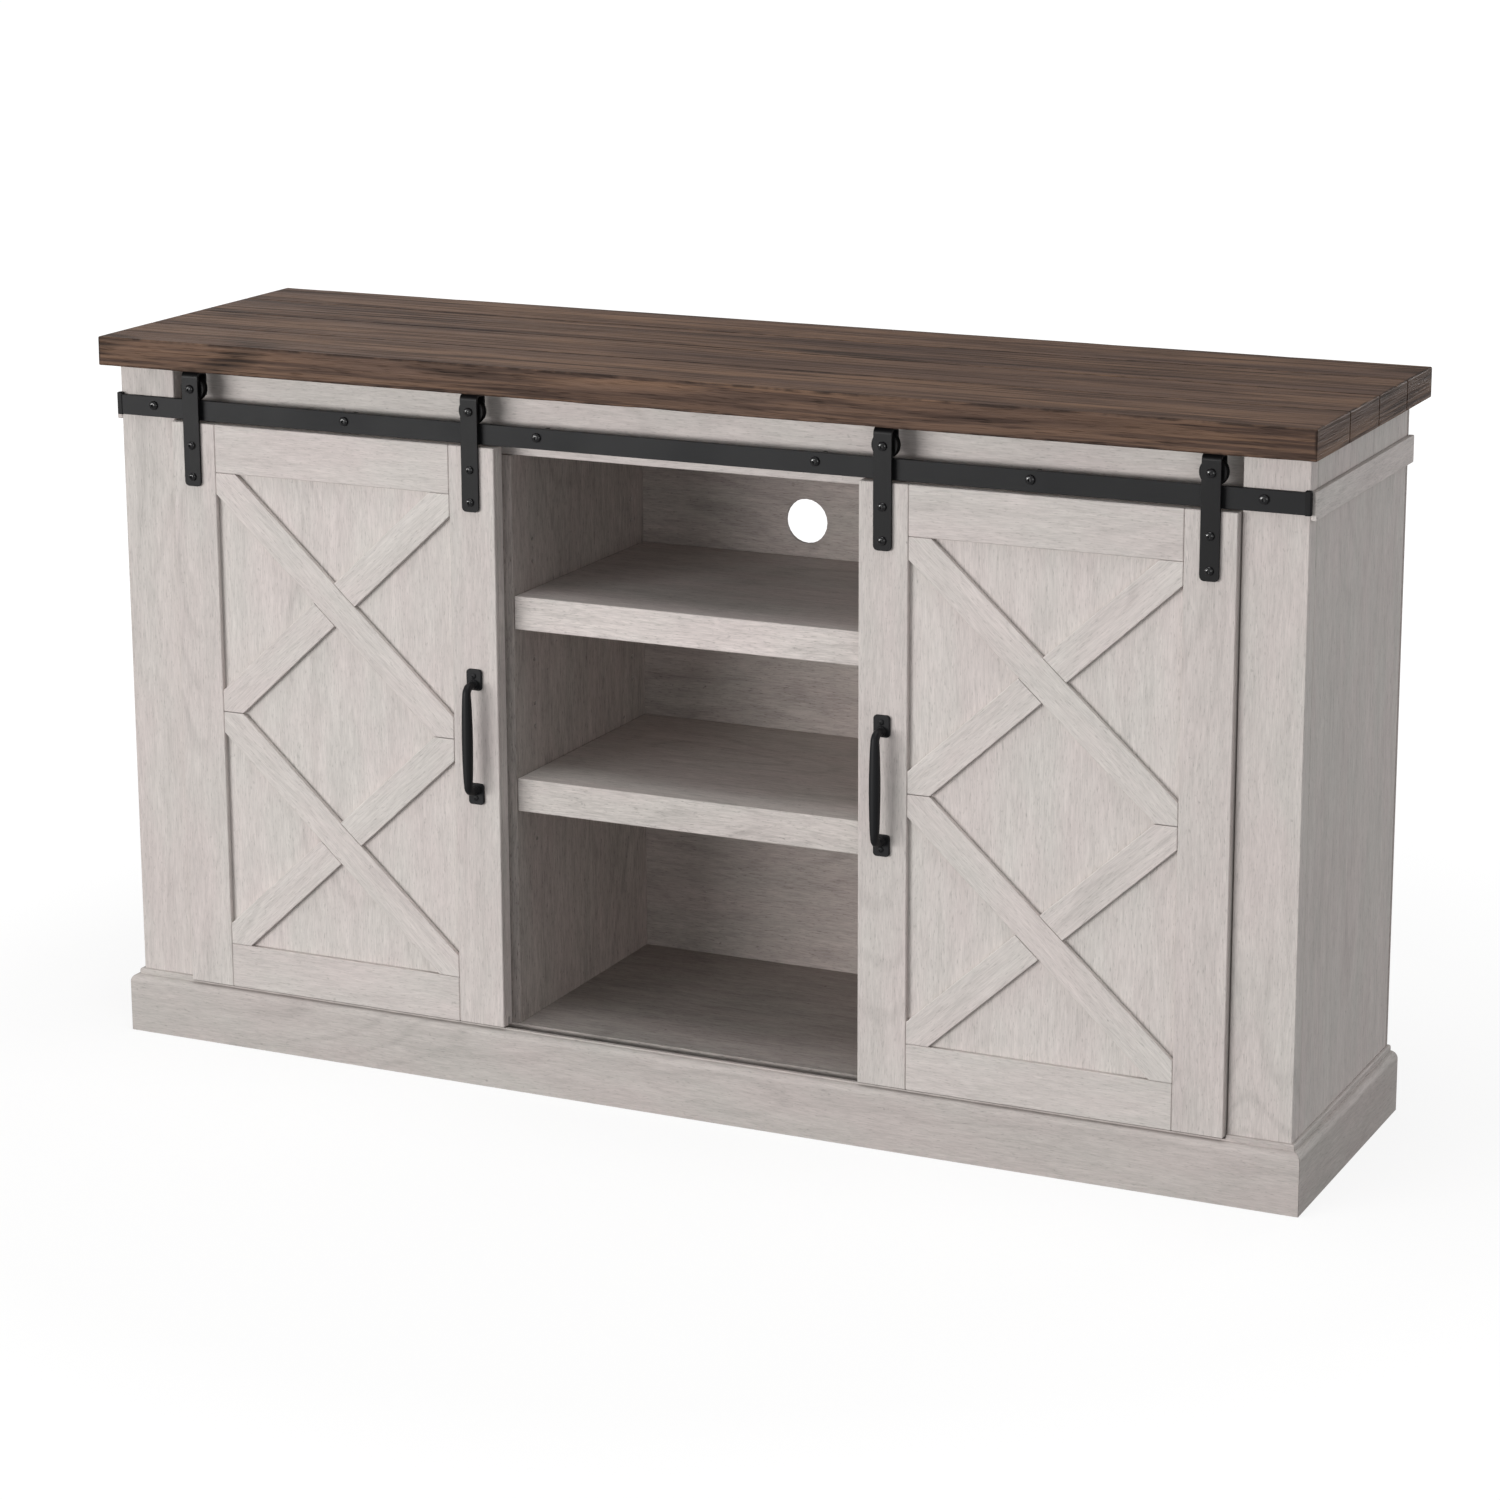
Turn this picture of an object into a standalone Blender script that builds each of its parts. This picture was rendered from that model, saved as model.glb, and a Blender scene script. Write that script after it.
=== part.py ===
"""Television stand with two sliding barn doors, built as the real carcass, trim and hardware.

Metres, +Z up. The front faces -Y, the doors slide along X, and the origin is on the floor under
the middle of the whole object's box. "Left" is the side of -X, as someone facing the front sees it.
"""

import math

import bmesh
import bpy
from mathutils import Matrix, Vector

# Clearance between pieces that touch or rest on each other
GAP = 0.0003

# Top slab and overall size
WIDTH = 1.372
HEIGHT = 0.794
TOP_DEPTH = 0.390
TOP_THICK = 0.03175
FRONT_OVERHANG = 0.024
BACK_OVERHANG = 0.038

# Carcass
PANEL_THICK = 0.016
STILE_WIDTH = 0.0675
STILE_THICK = 0.021
FASCIA_HEIGHT = 0.06875
BAY_WIDTH = 0.4026
DIVIDER_SETBACK = 0.008
FLOOR_SETBACK = 0.005
FLOOR_DROP = 0.0013
BACK_THICK = 0.005
BAND_THICK = 0.006
BAND_HEIGHT = 0.0285
BAND_DROP = 0.03325
SHELF_THICK = 0.036
SHELF_SETBACK = 0.001
LOWER_SHELF_TOP = 0.342
UPPER_SHELF_TOP = 0.5417
SIDE_SHELF_THICK = 0.016
SIDE_SHELF_TOP = 0.380
SIDE_SHELF_SETBACK = 0.012
SHELF_SIDE_CLEAR = 0.0005
CABLE_HOLE_RADIUS = 0.025
CABLE_HOLE_RISE = 0.040

# Plinth: a flat face, a quarter-round above it and a small bead against the stiles and sides
PLINTH_THICK = 0.0117
PLINTH_FACE = 0.0574
OVOLO_RADIUS = 0.008
OVOLO_FILLET = 0.0016
BEAD_HEIGHT = 0.0045
BEAD_ROUND = 0.002

# Doors: a grooved board with applied stiles, rails and two stacked crosses
DOOR_PROUD = 0.009
DOOR_SIDE_GAP = 0.0015
DOOR_TOP_GAP = 0.0025
DOOR_BOTTOM_GAP = 0.002
DOOR_OVERLAP = 0.0093
DOOR_BOARD_THICK = 0.012
STRIP_THICK = 0.0057
DOOR_STILE_WIDTH = 0.054
DOOR_TOP_RAIL = 0.0525
DOOR_BOTTOM_RAIL = 0.0495
SLAT_WIDTH = 0.034
SLAT_INSET = 0.007

# Bottom guides, which stand in a groove under each door
GUIDE_LENGTH = 0.030
GUIDE_BLOCK_HEIGHT = 0.013
GUIDE_BLOCK_DROP = 0.0017
FIN_THICK = 0.003
FIN_REACH = 0.007
GROOVE_CLEAR = 0.001
GROOVE_HEADROOM = 0.002

# Rail, its bolts and its spacers
RAIL_HEIGHT = 0.022
RAIL_THICK = 0.005
RAIL_OVERLAP = 0.0018
BOLT_RISE = 0.0015
BOLT_RADIUS = 0.003
BOLT_HEAD_RADIUS = 0.005
BOLT_HEAD_HEIGHT = 0.0027
BOLT_HEAD_EDGE = 0.0009
BOLT_GRIP = 0.012
END_BOLT_INSET = 0.0465
INNER_BOLTS_X = (0.1585, 0.390)
SPACER_RADIUS = 0.006
BORE_CLEAR = 0.00025

# Hangers, axles and wheels
STRAP_WIDTH = 0.020
STRAP_THICK = 0.003
STRAP_LENGTH = 0.125
STRAP_BEND = 0.0035
STRAP_HEADROOM = 0.00225
STRAP_CORNER = 0.005
BACK_LEG_BELOW_AXLE = 0.0085
ROLL_RADIUS = 0.0127
FLANGE_HEIGHT = 0.0015
FLANGE_THICK = 0.0017
WHEEL_TOP_CLEAR = 0.0013
WHEEL_WEB_RECESS = 0.0014
HUB_RADIUS = 0.0058
RIM_WALL = 0.0024
AXLE_RADIUS = 0.003
AXLE_HEAD_RADIUS = 0.006
AXLE_HEAD_HEIGHT = 0.0035
AXLE_HEAD_EDGE = 0.001
AXLE_NUT_RADIUS = 0.005
AXLE_NUT_HEIGHT = 0.003

# Handles
HANDLE_CENTRE_Z = 0.391
HANDLE_LENGTH = 0.1485
PLATE_WIDTH = 0.018
PLATE_HEIGHT = 0.023
PLATE_THICK = 0.003
GRIP_REACH = 0.022
GRIP_BEND = 0.014
GRIP_RADIUS = 0.0065
GRIP_NECK = 0.0042

# Fine detail
BOARD_EDGE = 0.0008
TOP_EDGE = 0.0015
ROUND_STEPS = 24

# Places along Y, from the slab forward to the handles
HANDLE_FORWARD = DOOR_PROUD + GAP + PLATE_THICK + GRIP_REACH
TOTAL_DEPTH = TOP_DEPTH - FRONT_OVERHANG + HANDLE_FORWARD
SLAB_BACK = TOTAL_DEPTH / 2
SLAB_FRONT = SLAB_BACK - TOP_DEPTH
STILE_FRONT = SLAB_FRONT + FRONT_OVERHANG
CARCASS_FRONT = STILE_FRONT + STILE_THICK + GAP
BACK_OUTER = SLAB_BACK - BACK_OVERHANG
CARCASS_BACK = BACK_OUTER - BACK_THICK - GAP
FASCIA_BACK = CARCASS_FRONT + PANEL_THICK
DOOR_FRONT = STILE_FRONT - DOOR_PROUD
BOARD_FRONT = DOOR_FRONT + STRIP_THICK + GAP
DOOR_BACK = BOARD_FRONT + DOOR_BOARD_THICK
DIVIDER_FRONT = DOOR_BACK + DIVIDER_SETBACK
FLOOR_FRONT = DOOR_BACK + FLOOR_SETBACK
RAIL_BACK = STILE_FRONT - GAP
RAIL_FRONT = RAIL_BACK - RAIL_THICK
WHEEL_Y = (RAIL_BACK + RAIL_FRONT) / 2
STRAP_BACK = DOOR_FRONT - GAP
STRAP_FRONT = STRAP_BACK - STRAP_THICK
BACK_LEG_INNER = 2 * WHEEL_Y - STRAP_BACK
BACK_LEG_OUTER = BACK_LEG_INNER + STRAP_THICK
FIN_Y = (BOARD_FRONT + DOOR_BACK) / 2
GROOVE_WIDTH = FIN_THICK + 2 * GROOVE_CLEAR

# Places along X, as distances from the middle
CARCASS_HALF = WIDTH / 2 - PLINTH_THICK - GAP
SIDE_INNER = CARCASS_HALF - PANEL_THICK
STILE_INNER = CARCASS_HALF - STILE_WIDTH
BAY_HALF = BAY_WIDTH / 2
DIVIDER_OUTER = BAY_HALF + PANEL_THICK
DOOR_OUTER = STILE_INNER - DOOR_SIDE_GAP
DOOR_INNER = DIVIDER_OUTER - DOOR_OVERLAP
RAIL_HALF = CARCASS_HALF + RAIL_OVERLAP
HANGER_X = {
    "outer": DOOR_OUTER - DOOR_STILE_WIDTH / 2,
    "inner": DOOR_INNER + DOOR_STILE_WIDTH / 2,
}
GUIDE_X = (DOOR_INNER + (DOOR_OUTER - DOOR_INNER + GAP)) / 2

# Places along Z
SLAB_UNDER = HEIGHT - TOP_THICK
CARCASS_TOP = SLAB_UNDER - GAP
FASCIA_BOTTOM = CARCASS_TOP - FASCIA_HEIGHT
STRAP_TOP = SLAB_UNDER - STRAP_HEADROOM
FLANGE_RADIUS = ROLL_RADIUS + FLANGE_HEIGHT
AXLE_Z = STRAP_TOP - STRAP_THICK - WHEEL_TOP_CLEAR - FLANGE_RADIUS
RAIL_TOP = AXLE_Z - ROLL_RADIUS - GAP
RAIL_BOTTOM = RAIL_TOP - RAIL_HEIGHT
BOLT_Z = (RAIL_TOP + RAIL_BOTTOM) / 2 + BOLT_RISE
PLINTH_CUT = PLINTH_FACE + OVOLO_RADIUS + OVOLO_FILLET
PLINTH_TOP = PLINTH_CUT + BEAD_HEIGHT
DOOR_BOTTOM = PLINTH_CUT + DOOR_BOTTOM_GAP
DOOR_TOP = RAIL_BOTTOM - DOOR_TOP_GAP
FLOOR_TOP = DOOR_BOTTOM - FLOOR_DROP
FLOOR_BOTTOM = FLOOR_TOP - PANEL_THICK

# Colours of the finishes: base colour, roughness, metallic
FINISHES = {
    "whitewash": ((0.56, 0.52, 0.49, 1), 0.62, 0.0),
    "walnut": ((0.19, 0.115, 0.075, 1), 0.55, 0.0),
    "black_metal": ((0.028, 0.029, 0.032, 1), 0.45, 0.6),
    "black_plastic": ((0.022, 0.022, 0.024, 1), 0.5, 0.0),
}


def clear_scene():
    for obj in list(bpy.data.objects):
        bpy.data.objects.remove(obj)


def new_collection(name):
    made = bpy.data.collections.new(name)
    bpy.context.scene.collection.children.link(made)
    return made


def own_material(name, finish):
    """A Principled material of the piece's own, in one of the finishes."""
    colour, roughness, metallic = FINISHES[finish]
    made = bpy.data.materials.new(name)
    made.use_nodes = True
    made.diffuse_color = colour
    shader = made.node_tree.nodes["Principled BSDF"]
    shader.inputs["Base Color"].default_value = colour
    shader.inputs["Roughness"].default_value = roughness
    shader.inputs["Metallic"].default_value = metallic
    return made


def add_piece(name, data, finish, place, parent=None, turn=None):
    """An object of the stand at a world place, with an optional turn and parent."""
    obj = bpy.data.objects.new(name, data)
    PIECES.objects.link(obj)
    origin = parent.location if parent else Vector()
    obj.matrix_local = Matrix.Translation(Vector(place) - origin) @ (turn or Matrix()).to_4x4()
    obj.parent = parent
    obj.data.materials.append(own_material(name, finish))
    return obj


def add_cutter(name, data, place):
    obj = bpy.data.objects.new(name, data)
    CUTTERS.objects.link(obj)
    obj.location = place
    obj.hide_render = True
    obj.display_type = "WIRE"
    return obj


def box_mesh(name, size):
    mesh = bpy.data.meshes.new(name)
    shape = bmesh.new()
    bmesh.ops.create_cube(shape, size=1, matrix=Matrix.Diagonal((*size, 1)))
    shape.to_mesh(mesh)
    shape.free()
    return mesh


def rod_mesh(name, radius, length):
    """A cylinder along Y."""
    mesh = bpy.data.meshes.new(name)
    shape = bmesh.new()
    bmesh.ops.create_cone(
        shape,
        cap_ends=True,
        segments=ROUND_STEPS,
        radius1=radius,
        radius2=radius,
        depth=length,
        matrix=Matrix.Rotation(math.pi / 2, 4, "X"),
    )
    shape.to_mesh(mesh)
    shape.free()
    return mesh


def board(name, x, y, z, finish="whitewash", parent=None, edge=BOARD_EDGE):
    """A rectangular board between two limits on each axis, with a small chamfer."""
    limits = (sorted(x), sorted(y), sorted(z))
    size = [high - low for low, high in limits]
    middle = [(high + low) / 2 for low, high in limits]
    obj = add_piece(name, box_mesh(name, size), finish, middle, parent)
    if edge:
        chamfer = obj.modifiers.new("eased_edges", "BEVEL")
        chamfer.width = edge
        chamfer.segments = 1
    return obj


def cut(obj, cutter, operation="DIFFERENCE"):
    step = obj.modifiers.new(cutter.name, "BOOLEAN")
    step.operation = operation
    step.solver = "EXACT"
    step.object = cutter


def drill(obj, place, radius, length):
    """A round hole along Y, centred on a world place."""
    name = f"{obj.name}_drill_{len(obj.modifiers)}"
    cut(obj, add_cutter(name, rod_mesh(name, radius, length), place))


def arc(centre, radius, start, end, steps):
    """Points along an arc, in degrees, both ends included."""
    angles = [math.radians(start + (end - start) * i / steps) for i in range(steps + 1)]
    return [(centre[0] + radius * math.cos(a), centre[1] + radius * math.sin(a)) for a in angles]


def outline_curve(name, points, length):
    """A flat outline, extruded by a length along its own Z, half to each side."""
    curve = bpy.data.curves.new(name, "CURVE")
    curve.dimensions = "2D"
    curve.fill_mode = "BOTH"
    curve.extrude = length / 2
    line = curve.splines.new("POLY")
    line.points.add(len(points) - 1)
    for point, (u, v) in zip(line.points, points):
        point.co = (u, v, 0, 1)
    line.use_cyclic_u = True
    return curve


def solid_mesh(name, curve):
    """A curve's solid as a mesh whose caps are welded to its sides, so that it can be cut."""
    helper = bpy.data.objects.new(name + "_curve", curve)
    PIECES.objects.link(helper)
    graph = bpy.context.evaluated_depsgraph_get()
    mesh = bpy.data.meshes.new_from_object(helper.evaluated_get(graph))
    mesh.name = name
    shape = bmesh.new()
    shape.from_mesh(mesh)
    bmesh.ops.remove_doubles(shape, verts=shape.verts, dist=1e-6)
    bmesh.ops.recalc_face_normals(shape, faces=shape.faces)
    shape.to_mesh(mesh)
    shape.free()
    bpy.data.objects.remove(helper)
    return mesh


def section(across, up):
    """A turn that takes an outline's first axis to one direction and its second to another."""
    across, up = Vector(across), Vector(up)
    return Matrix((across, up, across.cross(up))).transposed()


def turned(name, profile, closed, finish, place, parent=None, steps=ROUND_STEPS):
    """A turned piece about Y. The profile's (radius, height) points run from its +Y end to its -Y end."""
    mesh = bpy.data.meshes.new(name)
    ends = [(i, i + 1) for i in range(len(profile) - 1)]
    if closed:
        ends.append((len(profile) - 1, 0))
    mesh.from_pydata([(radius, 0, height) for radius, height in profile], ends, [])
    # The screw turns about local Z, which lies along world +Y.
    obj = add_piece(name, mesh, finish, place, parent, Matrix.Rotation(-math.pi / 2, 4, "X"))
    screw = obj.modifiers.new("turn", "SCREW")
    screw.axis = "Z"
    screw.steps = steps
    screw.render_steps = steps
    screw.use_merge_vertices = True
    screw.merge_threshold = 1e-5
    screw.use_smooth_shade = True
    return obj


def make_top():
    board("top", (-WIDTH / 2, WIDTH / 2), (SLAB_FRONT, SLAB_BACK), (SLAB_UNDER, HEIGHT),
          "walnut", edge=TOP_EDGE)


def make_sides(side, sign):
    """One end of the carcass: the side panel, the front stile and the trim band under the top."""
    board(f"{side}_side_panel", (sign * SIDE_INNER, sign * CARCASS_HALF),
          (CARCASS_FRONT, CARCASS_BACK), (0, CARCASS_TOP))
    stile = board(f"{side}_front_stile", (sign * STILE_INNER, sign * CARCASS_HALF),
                  (STILE_FRONT, STILE_FRONT + STILE_THICK), (0, CARCASS_TOP))
    hole_depth = BOLT_GRIP + 2 * GAP
    drill(stile, (sign * (RAIL_HALF - END_BOLT_INSET), STILE_FRONT, BOLT_Z),
          BOLT_RADIUS + BORE_CLEAR, 2 * hole_depth)
    band_x = sign * (CARCASS_HALF + GAP)
    band_top = SLAB_UNDER - BAND_DROP
    board(f"{side}_side_band", (band_x, band_x + sign * BAND_THICK),
          (STILE_FRONT, BACK_OUTER), (band_top - BAND_HEIGHT, band_top))


def make_fascia():
    """The board behind the rail, with a blind hole for each spacer's bolt."""
    reach = SIDE_INNER - GAP
    fascia = board("rail_backer", (-reach, reach), (CARCASS_FRONT, FASCIA_BACK),
                   (FASCIA_BOTTOM, CARCASS_TOP))
    for x in INNER_BOLTS_X:
        for sign in (-1, 1):
            drill(fascia, (sign * x, CARCASS_FRONT, BOLT_Z), BOLT_RADIUS + BORE_CLEAR,
                  2 * (BOLT_GRIP + 2 * GAP))


def make_divider(side, sign):
    """An upright that stands on the floor panel and is notched round the board behind the rail."""
    bottom = FLOOR_TOP + GAP
    notch_y = FASCIA_BACK + GAP
    notch_z = FASCIA_BOTTOM - GAP
    outline = [
        (DIVIDER_FRONT, bottom), (CARCASS_BACK, bottom), (CARCASS_BACK, CARCASS_TOP),
        (notch_y, CARCASS_TOP), (notch_y, notch_z), (DIVIDER_FRONT, notch_z),
    ]
    name = f"{side}_divider"
    mesh = solid_mesh(name, outline_curve(name, outline, PANEL_THICK))
    middle = sign * (BAY_HALF + PANEL_THICK / 2)
    add_piece(name, mesh, "whitewash", (middle, 0, 0), turn=section((0, 1, 0), (0, 0, 1)))


def make_floor_and_back():
    """The floor panel, notched round the stiles at its front corners, and the thin back."""
    reach = SIDE_INNER - GAP
    tongue = STILE_INNER - GAP
    notch_y = CARCASS_FRONT
    outline = [
        (-tongue, FLOOR_FRONT), (tongue, FLOOR_FRONT), (tongue, notch_y), (reach, notch_y),
        (reach, CARCASS_BACK), (-reach, CARCASS_BACK), (-reach, notch_y), (-tongue, notch_y),
    ]
    mesh = solid_mesh("bottom_panel", outline_curve("bottom_panel", outline, PANEL_THICK))
    add_piece("bottom_panel", mesh, "whitewash", (0, 0, (FLOOR_TOP + FLOOR_BOTTOM) / 2))
    back = board("back_panel", (-CARCASS_HALF, CARCASS_HALF), (CARCASS_BACK + GAP, BACK_OUTER),
                 (FLOOR_BOTTOM, CARCASS_TOP), edge=0)
    middle_y = (CARCASS_BACK + GAP + BACK_OUTER) / 2
    drill(back, (0, middle_y, UPPER_SHELF_TOP + CABLE_HOLE_RISE), CABLE_HOLE_RADIUS,
          3 * BACK_THICK)


def make_shelves():
    inner = BAY_HALF - SHELF_SIDE_CLEAR
    shelf_back = CARCASS_BACK - GAP
    for name, top in (("upper_shelf", UPPER_SHELF_TOP), ("lower_shelf", LOWER_SHELF_TOP)):
        board(name, (-inner, inner), (DIVIDER_FRONT + SHELF_SETBACK, shelf_back),
              (top - SHELF_THICK, top))
    near = DIVIDER_OUTER + SHELF_SIDE_CLEAR
    far = SIDE_INNER - SHELF_SIDE_CLEAR
    for side, sign in SIDES:
        board(f"{side}_bay_shelf", (sign * near, sign * far),
              (CARCASS_FRONT + SIDE_SHELF_SETBACK, shelf_back),
              (SIDE_SHELF_TOP - SIDE_SHELF_THICK, SIDE_SHELF_TOP))


def plinth_outline():
    """The plinth's section, outwards and upwards from the foot of its back face."""
    shoulder = PLINTH_THICK - OVOLO_RADIUS
    ovolo_top = PLINTH_FACE + OVOLO_RADIUS
    quarter = arc((shoulder, PLINTH_FACE), OVOLO_RADIUS, 0, 90, 4)
    bead = arc((shoulder - BEAD_ROUND, PLINTH_TOP - BEAD_ROUND), BEAD_ROUND, 0, 90, 2)
    return [(0, 0), (PLINTH_THICK, 0), *quarter, (shoulder, ovolo_top + OVOLO_FILLET / 2),
            *bead, (0, PLINTH_TOP)]


def mitre(mesh, point, outward):
    """Cuts a board's mesh at a plane and closes the cut, dropping what lies outward of it."""
    shape = bmesh.new()
    shape.from_mesh(mesh)
    everything = [*shape.verts, *shape.edges, *shape.faces]
    bmesh.ops.bisect_plane(shape, geom=everything, dist=1e-7, plane_co=point,
                           plane_no=outward, clear_outer=True)
    rim = [edge for edge in shape.edges if edge.is_boundary]
    bmesh.ops.contextual_create(shape, geom=rim)
    bmesh.ops.recalc_face_normals(shape, faces=shape.faces)
    shape.to_mesh(mesh)
    shape.free()


def make_plinth():
    """The front board and its two mitred returns. The front is cut down where the doors pass."""
    half = WIDTH / 2
    back = STILE_FRONT - GAP
    front = back - PLINTH_THICK
    name = "plinth_front"
    mesh = solid_mesh(name, outline_curve(name, plinth_outline(), 2 * half + PLINTH_THICK))
    # The outline's length runs along local Z and its face along local X.
    for end in (-1, 1):
        mitre(mesh, (PLINTH_THICK, 0, end * (half - GAP / 2)), (-1, 0, end))
    board_front = add_piece(name, mesh, "whitewash", (0, back, 0),
                            turn=section((0, -1, 0), (0, 0, 1)))
    reach = STILE_INNER
    size = (2 * reach, 4 * PLINTH_THICK, 2 * BEAD_HEIGHT)
    cut(board_front, add_cutter("plinth_door_clearance", box_mesh("plinth_door_clearance", size),
                                (0, back - PLINTH_THICK / 2, PLINTH_CUT + BEAD_HEIGHT)))
    length = BACK_OUTER - front
    for side, sign in SIDES:
        name = f"plinth_{side}"
        mesh = solid_mesh(name, outline_curve(name, plinth_outline(), 2 * length))
        turn = section((sign, 0, 0), (0, 0, 1))
        # Local Z lies along -Y on the right and +Y on the left.
        forward = sign
        corner = forward * (length - GAP / 2)
        mitre(mesh, (PLINTH_THICK, 0, corner), (-1, 0, forward))
        mitre(mesh, (0, 0, 0), (0, 0, -forward))
        add_piece(name, mesh, "whitewash", (sign * (half - PLINTH_THICK), BACK_OUTER, 0),
                  turn=turn)


def domed_head(radius, seat, edge, height, steps=4):
    """A domed head's profile, from the rim of its seat to its crown, which points to -Y."""
    points = [(radius, seat)]
    for step in range(steps):
        angle = math.radians(90 * step / steps)
        points.append((radius * math.cos(angle), seat - edge - (height - edge) * math.sin(angle)))
    return [*points, (0, seat - height)]


def domed_bolt(name, x, shank):
    """A domed bolt through the rail, with its shank along +Y."""
    head = domed_head(BOLT_HEAD_RADIUS, 0, BOLT_HEAD_EDGE, BOLT_HEAD_HEIGHT)
    profile = [(0, shank), (BOLT_RADIUS, shank), (BOLT_RADIUS, 0), *head]
    turned(name, profile, False, "black_metal", (x, RAIL_FRONT - GAP, BOLT_Z),
           steps=ROUND_STEPS - 4)


def make_rail():
    """The flat bar, its six bolts and the four spacers that hold it off the board behind."""
    rail = board("barn_rail", (-RAIL_HALF, RAIL_HALF), (RAIL_FRONT, RAIL_BACK),
                 (RAIL_BOTTOM, RAIL_TOP), "black_metal", edge=0)
    end_bolt_x = RAIL_HALF - END_BOLT_INSET
    into_stile = RAIL_THICK + 2 * GAP + BOLT_GRIP
    into_fascia = CARCASS_FRONT - RAIL_FRONT + GAP + BOLT_GRIP
    spacer_front = RAIL_BACK + GAP
    spacer_back = CARCASS_FRONT - GAP
    bore = BOLT_RADIUS + BORE_CLEAR
    for side, sign in SIDES:
        spots = (("end", end_bolt_x, into_stile), ("centre", INNER_BOLTS_X[0], into_fascia),
                 ("middle", INNER_BOLTS_X[1], into_fascia))
        for spot, x, shank in spots:
            drill(rail, (sign * x, WHEEL_Y, BOLT_Z), bore, 3 * RAIL_THICK)
            domed_bolt(f"{side}_{spot}_rail_bolt", sign * x, shank)
            if spot == "end":
                continue
            half = (spacer_back - spacer_front) / 2
            tube = [(SPACER_RADIUS, half), (SPACER_RADIUS, -half), (bore, -half), (bore, half)]
            turned(f"{side}_{spot}_rail_spacer", tube, True, "black_metal",
                   (sign * x, (spacer_back + spacer_front) / 2, BOLT_Z), steps=ROUND_STEPS - 4)


def make_guide(side, sign):
    """A block fixed to the floor panel's front edge, with a fin that stands in the door's groove."""
    block_top = FLOOR_TOP - GUIDE_BLOCK_DROP
    block_bottom = block_top - GUIDE_BLOCK_HEIGHT
    fin_top = DOOR_BOTTOM + FIN_REACH
    fin_front = FIN_Y - FIN_THICK / 2
    fin_back = FIN_Y + FIN_THICK / 2
    block_front = fin_front - GROOVE_CLEAR
    block_back = FLOOR_FRONT - GAP
    outline = [
        (block_front, block_bottom), (block_back, block_bottom), (block_back, block_top),
        (fin_back, block_top), (fin_back, fin_top), (fin_front, fin_top),
        (fin_front, block_top), (block_front, block_top),
    ]
    name = f"{side}_door_guide"
    mesh = solid_mesh(name, outline_curve(name, outline, GUIDE_LENGTH))
    add_piece(name, mesh, "black_plastic", (sign * GUIDE_X, 0, 0),
              turn=section((0, 1, 0), (0, 0, 1)))


def make_door_board(side, door):
    """The door's board, with the guide groove along its bottom edge."""
    groove_front = FIN_Y - GROOVE_WIDTH / 2
    groove_back = FIN_Y + GROOVE_WIDTH / 2
    groove_top = DOOR_BOTTOM + FIN_REACH + GROOVE_HEADROOM
    outline = [
        (BOARD_FRONT, DOOR_BOTTOM), (groove_front, DOOR_BOTTOM), (groove_front, groove_top),
        (groove_back, groove_top), (groove_back, DOOR_BOTTOM), (DOOR_BACK, DOOR_BOTTOM),
        (DOOR_BACK, DOOR_TOP), (BOARD_FRONT, DOOR_TOP),
    ]
    name = f"{side}_door_board"
    mesh = solid_mesh(name, outline_curve(name, outline, DOOR_OUTER - DOOR_INNER))
    add_piece(name, mesh, "whitewash", (door.location.x, 0, 0), door,
              section((0, 1, 0), (0, 0, 1)))


def make_cross(name, door, x, z):
    """Two crossed slats that fill the field between the limits, one solid."""
    strip_y = DOOR_FRONT + STRIP_THICK / 2
    middle = (sum(x) / 2, strip_y, sum(z) / 2)
    run = abs(x[1] - x[0]) - 2 * SLAT_INSET
    rise = z[1] - z[0] - 2 * SLAT_INSET
    slope = math.atan2(rise, run)
    slat = (2 * math.hypot(run, rise), STRIP_THICK, SLAT_WIDTH)
    meshes = []
    for lean in (-slope, slope):
        mesh = box_mesh(name, slat)
        mesh.transform(Matrix.Rotation(lean, 4, "Y"))
        meshes.append(mesh)
    cross = add_piece(name, meshes[0], "whitewash", middle, door)
    cut(cross, add_cutter(name + "_second_slat", meshes[1], middle), "UNION")
    field = (abs(x[1] - x[0]) - 2 * GAP, 3 * STRIP_THICK, z[1] - z[0] - 2 * GAP)
    cut(cross, add_cutter(name + "_field", box_mesh(name + "_field", field), middle), "INTERSECT")


def make_door_trim(side, sign, door):
    """The applied stiles, rails and crosses on the front of one door."""
    strip = (DOOR_FRONT, DOOR_FRONT + STRIP_THICK)
    outer = (sign * DOOR_OUTER, sign * (DOOR_OUTER - DOOR_STILE_WIDTH))
    inner = (sign * DOOR_INNER, sign * (DOOR_INNER + DOOR_STILE_WIDTH))
    board(f"{side}_door_outer_stile", outer, strip, (DOOR_BOTTOM, DOOR_TOP), parent=door)
    board(f"{side}_door_inner_stile", inner, strip, (DOOR_BOTTOM, DOOR_TOP), parent=door)
    between = (outer[1] - sign * GAP, inner[1] + sign * GAP)
    field_top = DOOR_TOP - DOOR_TOP_RAIL
    field_bottom = DOOR_BOTTOM + DOOR_BOTTOM_RAIL
    board(f"{side}_door_top_rail", between, strip, (field_top, DOOR_TOP), parent=door)
    board(f"{side}_door_bottom_rail", between, strip, (DOOR_BOTTOM, field_bottom), parent=door)
    field_middle = (field_top + field_bottom) / 2
    field = (outer[1], inner[1])
    make_cross(f"{side}_door_upper_cross", door, field, (field_middle, field_top))
    make_cross(f"{side}_door_lower_cross", door, field, (field_bottom, field_middle))


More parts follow.
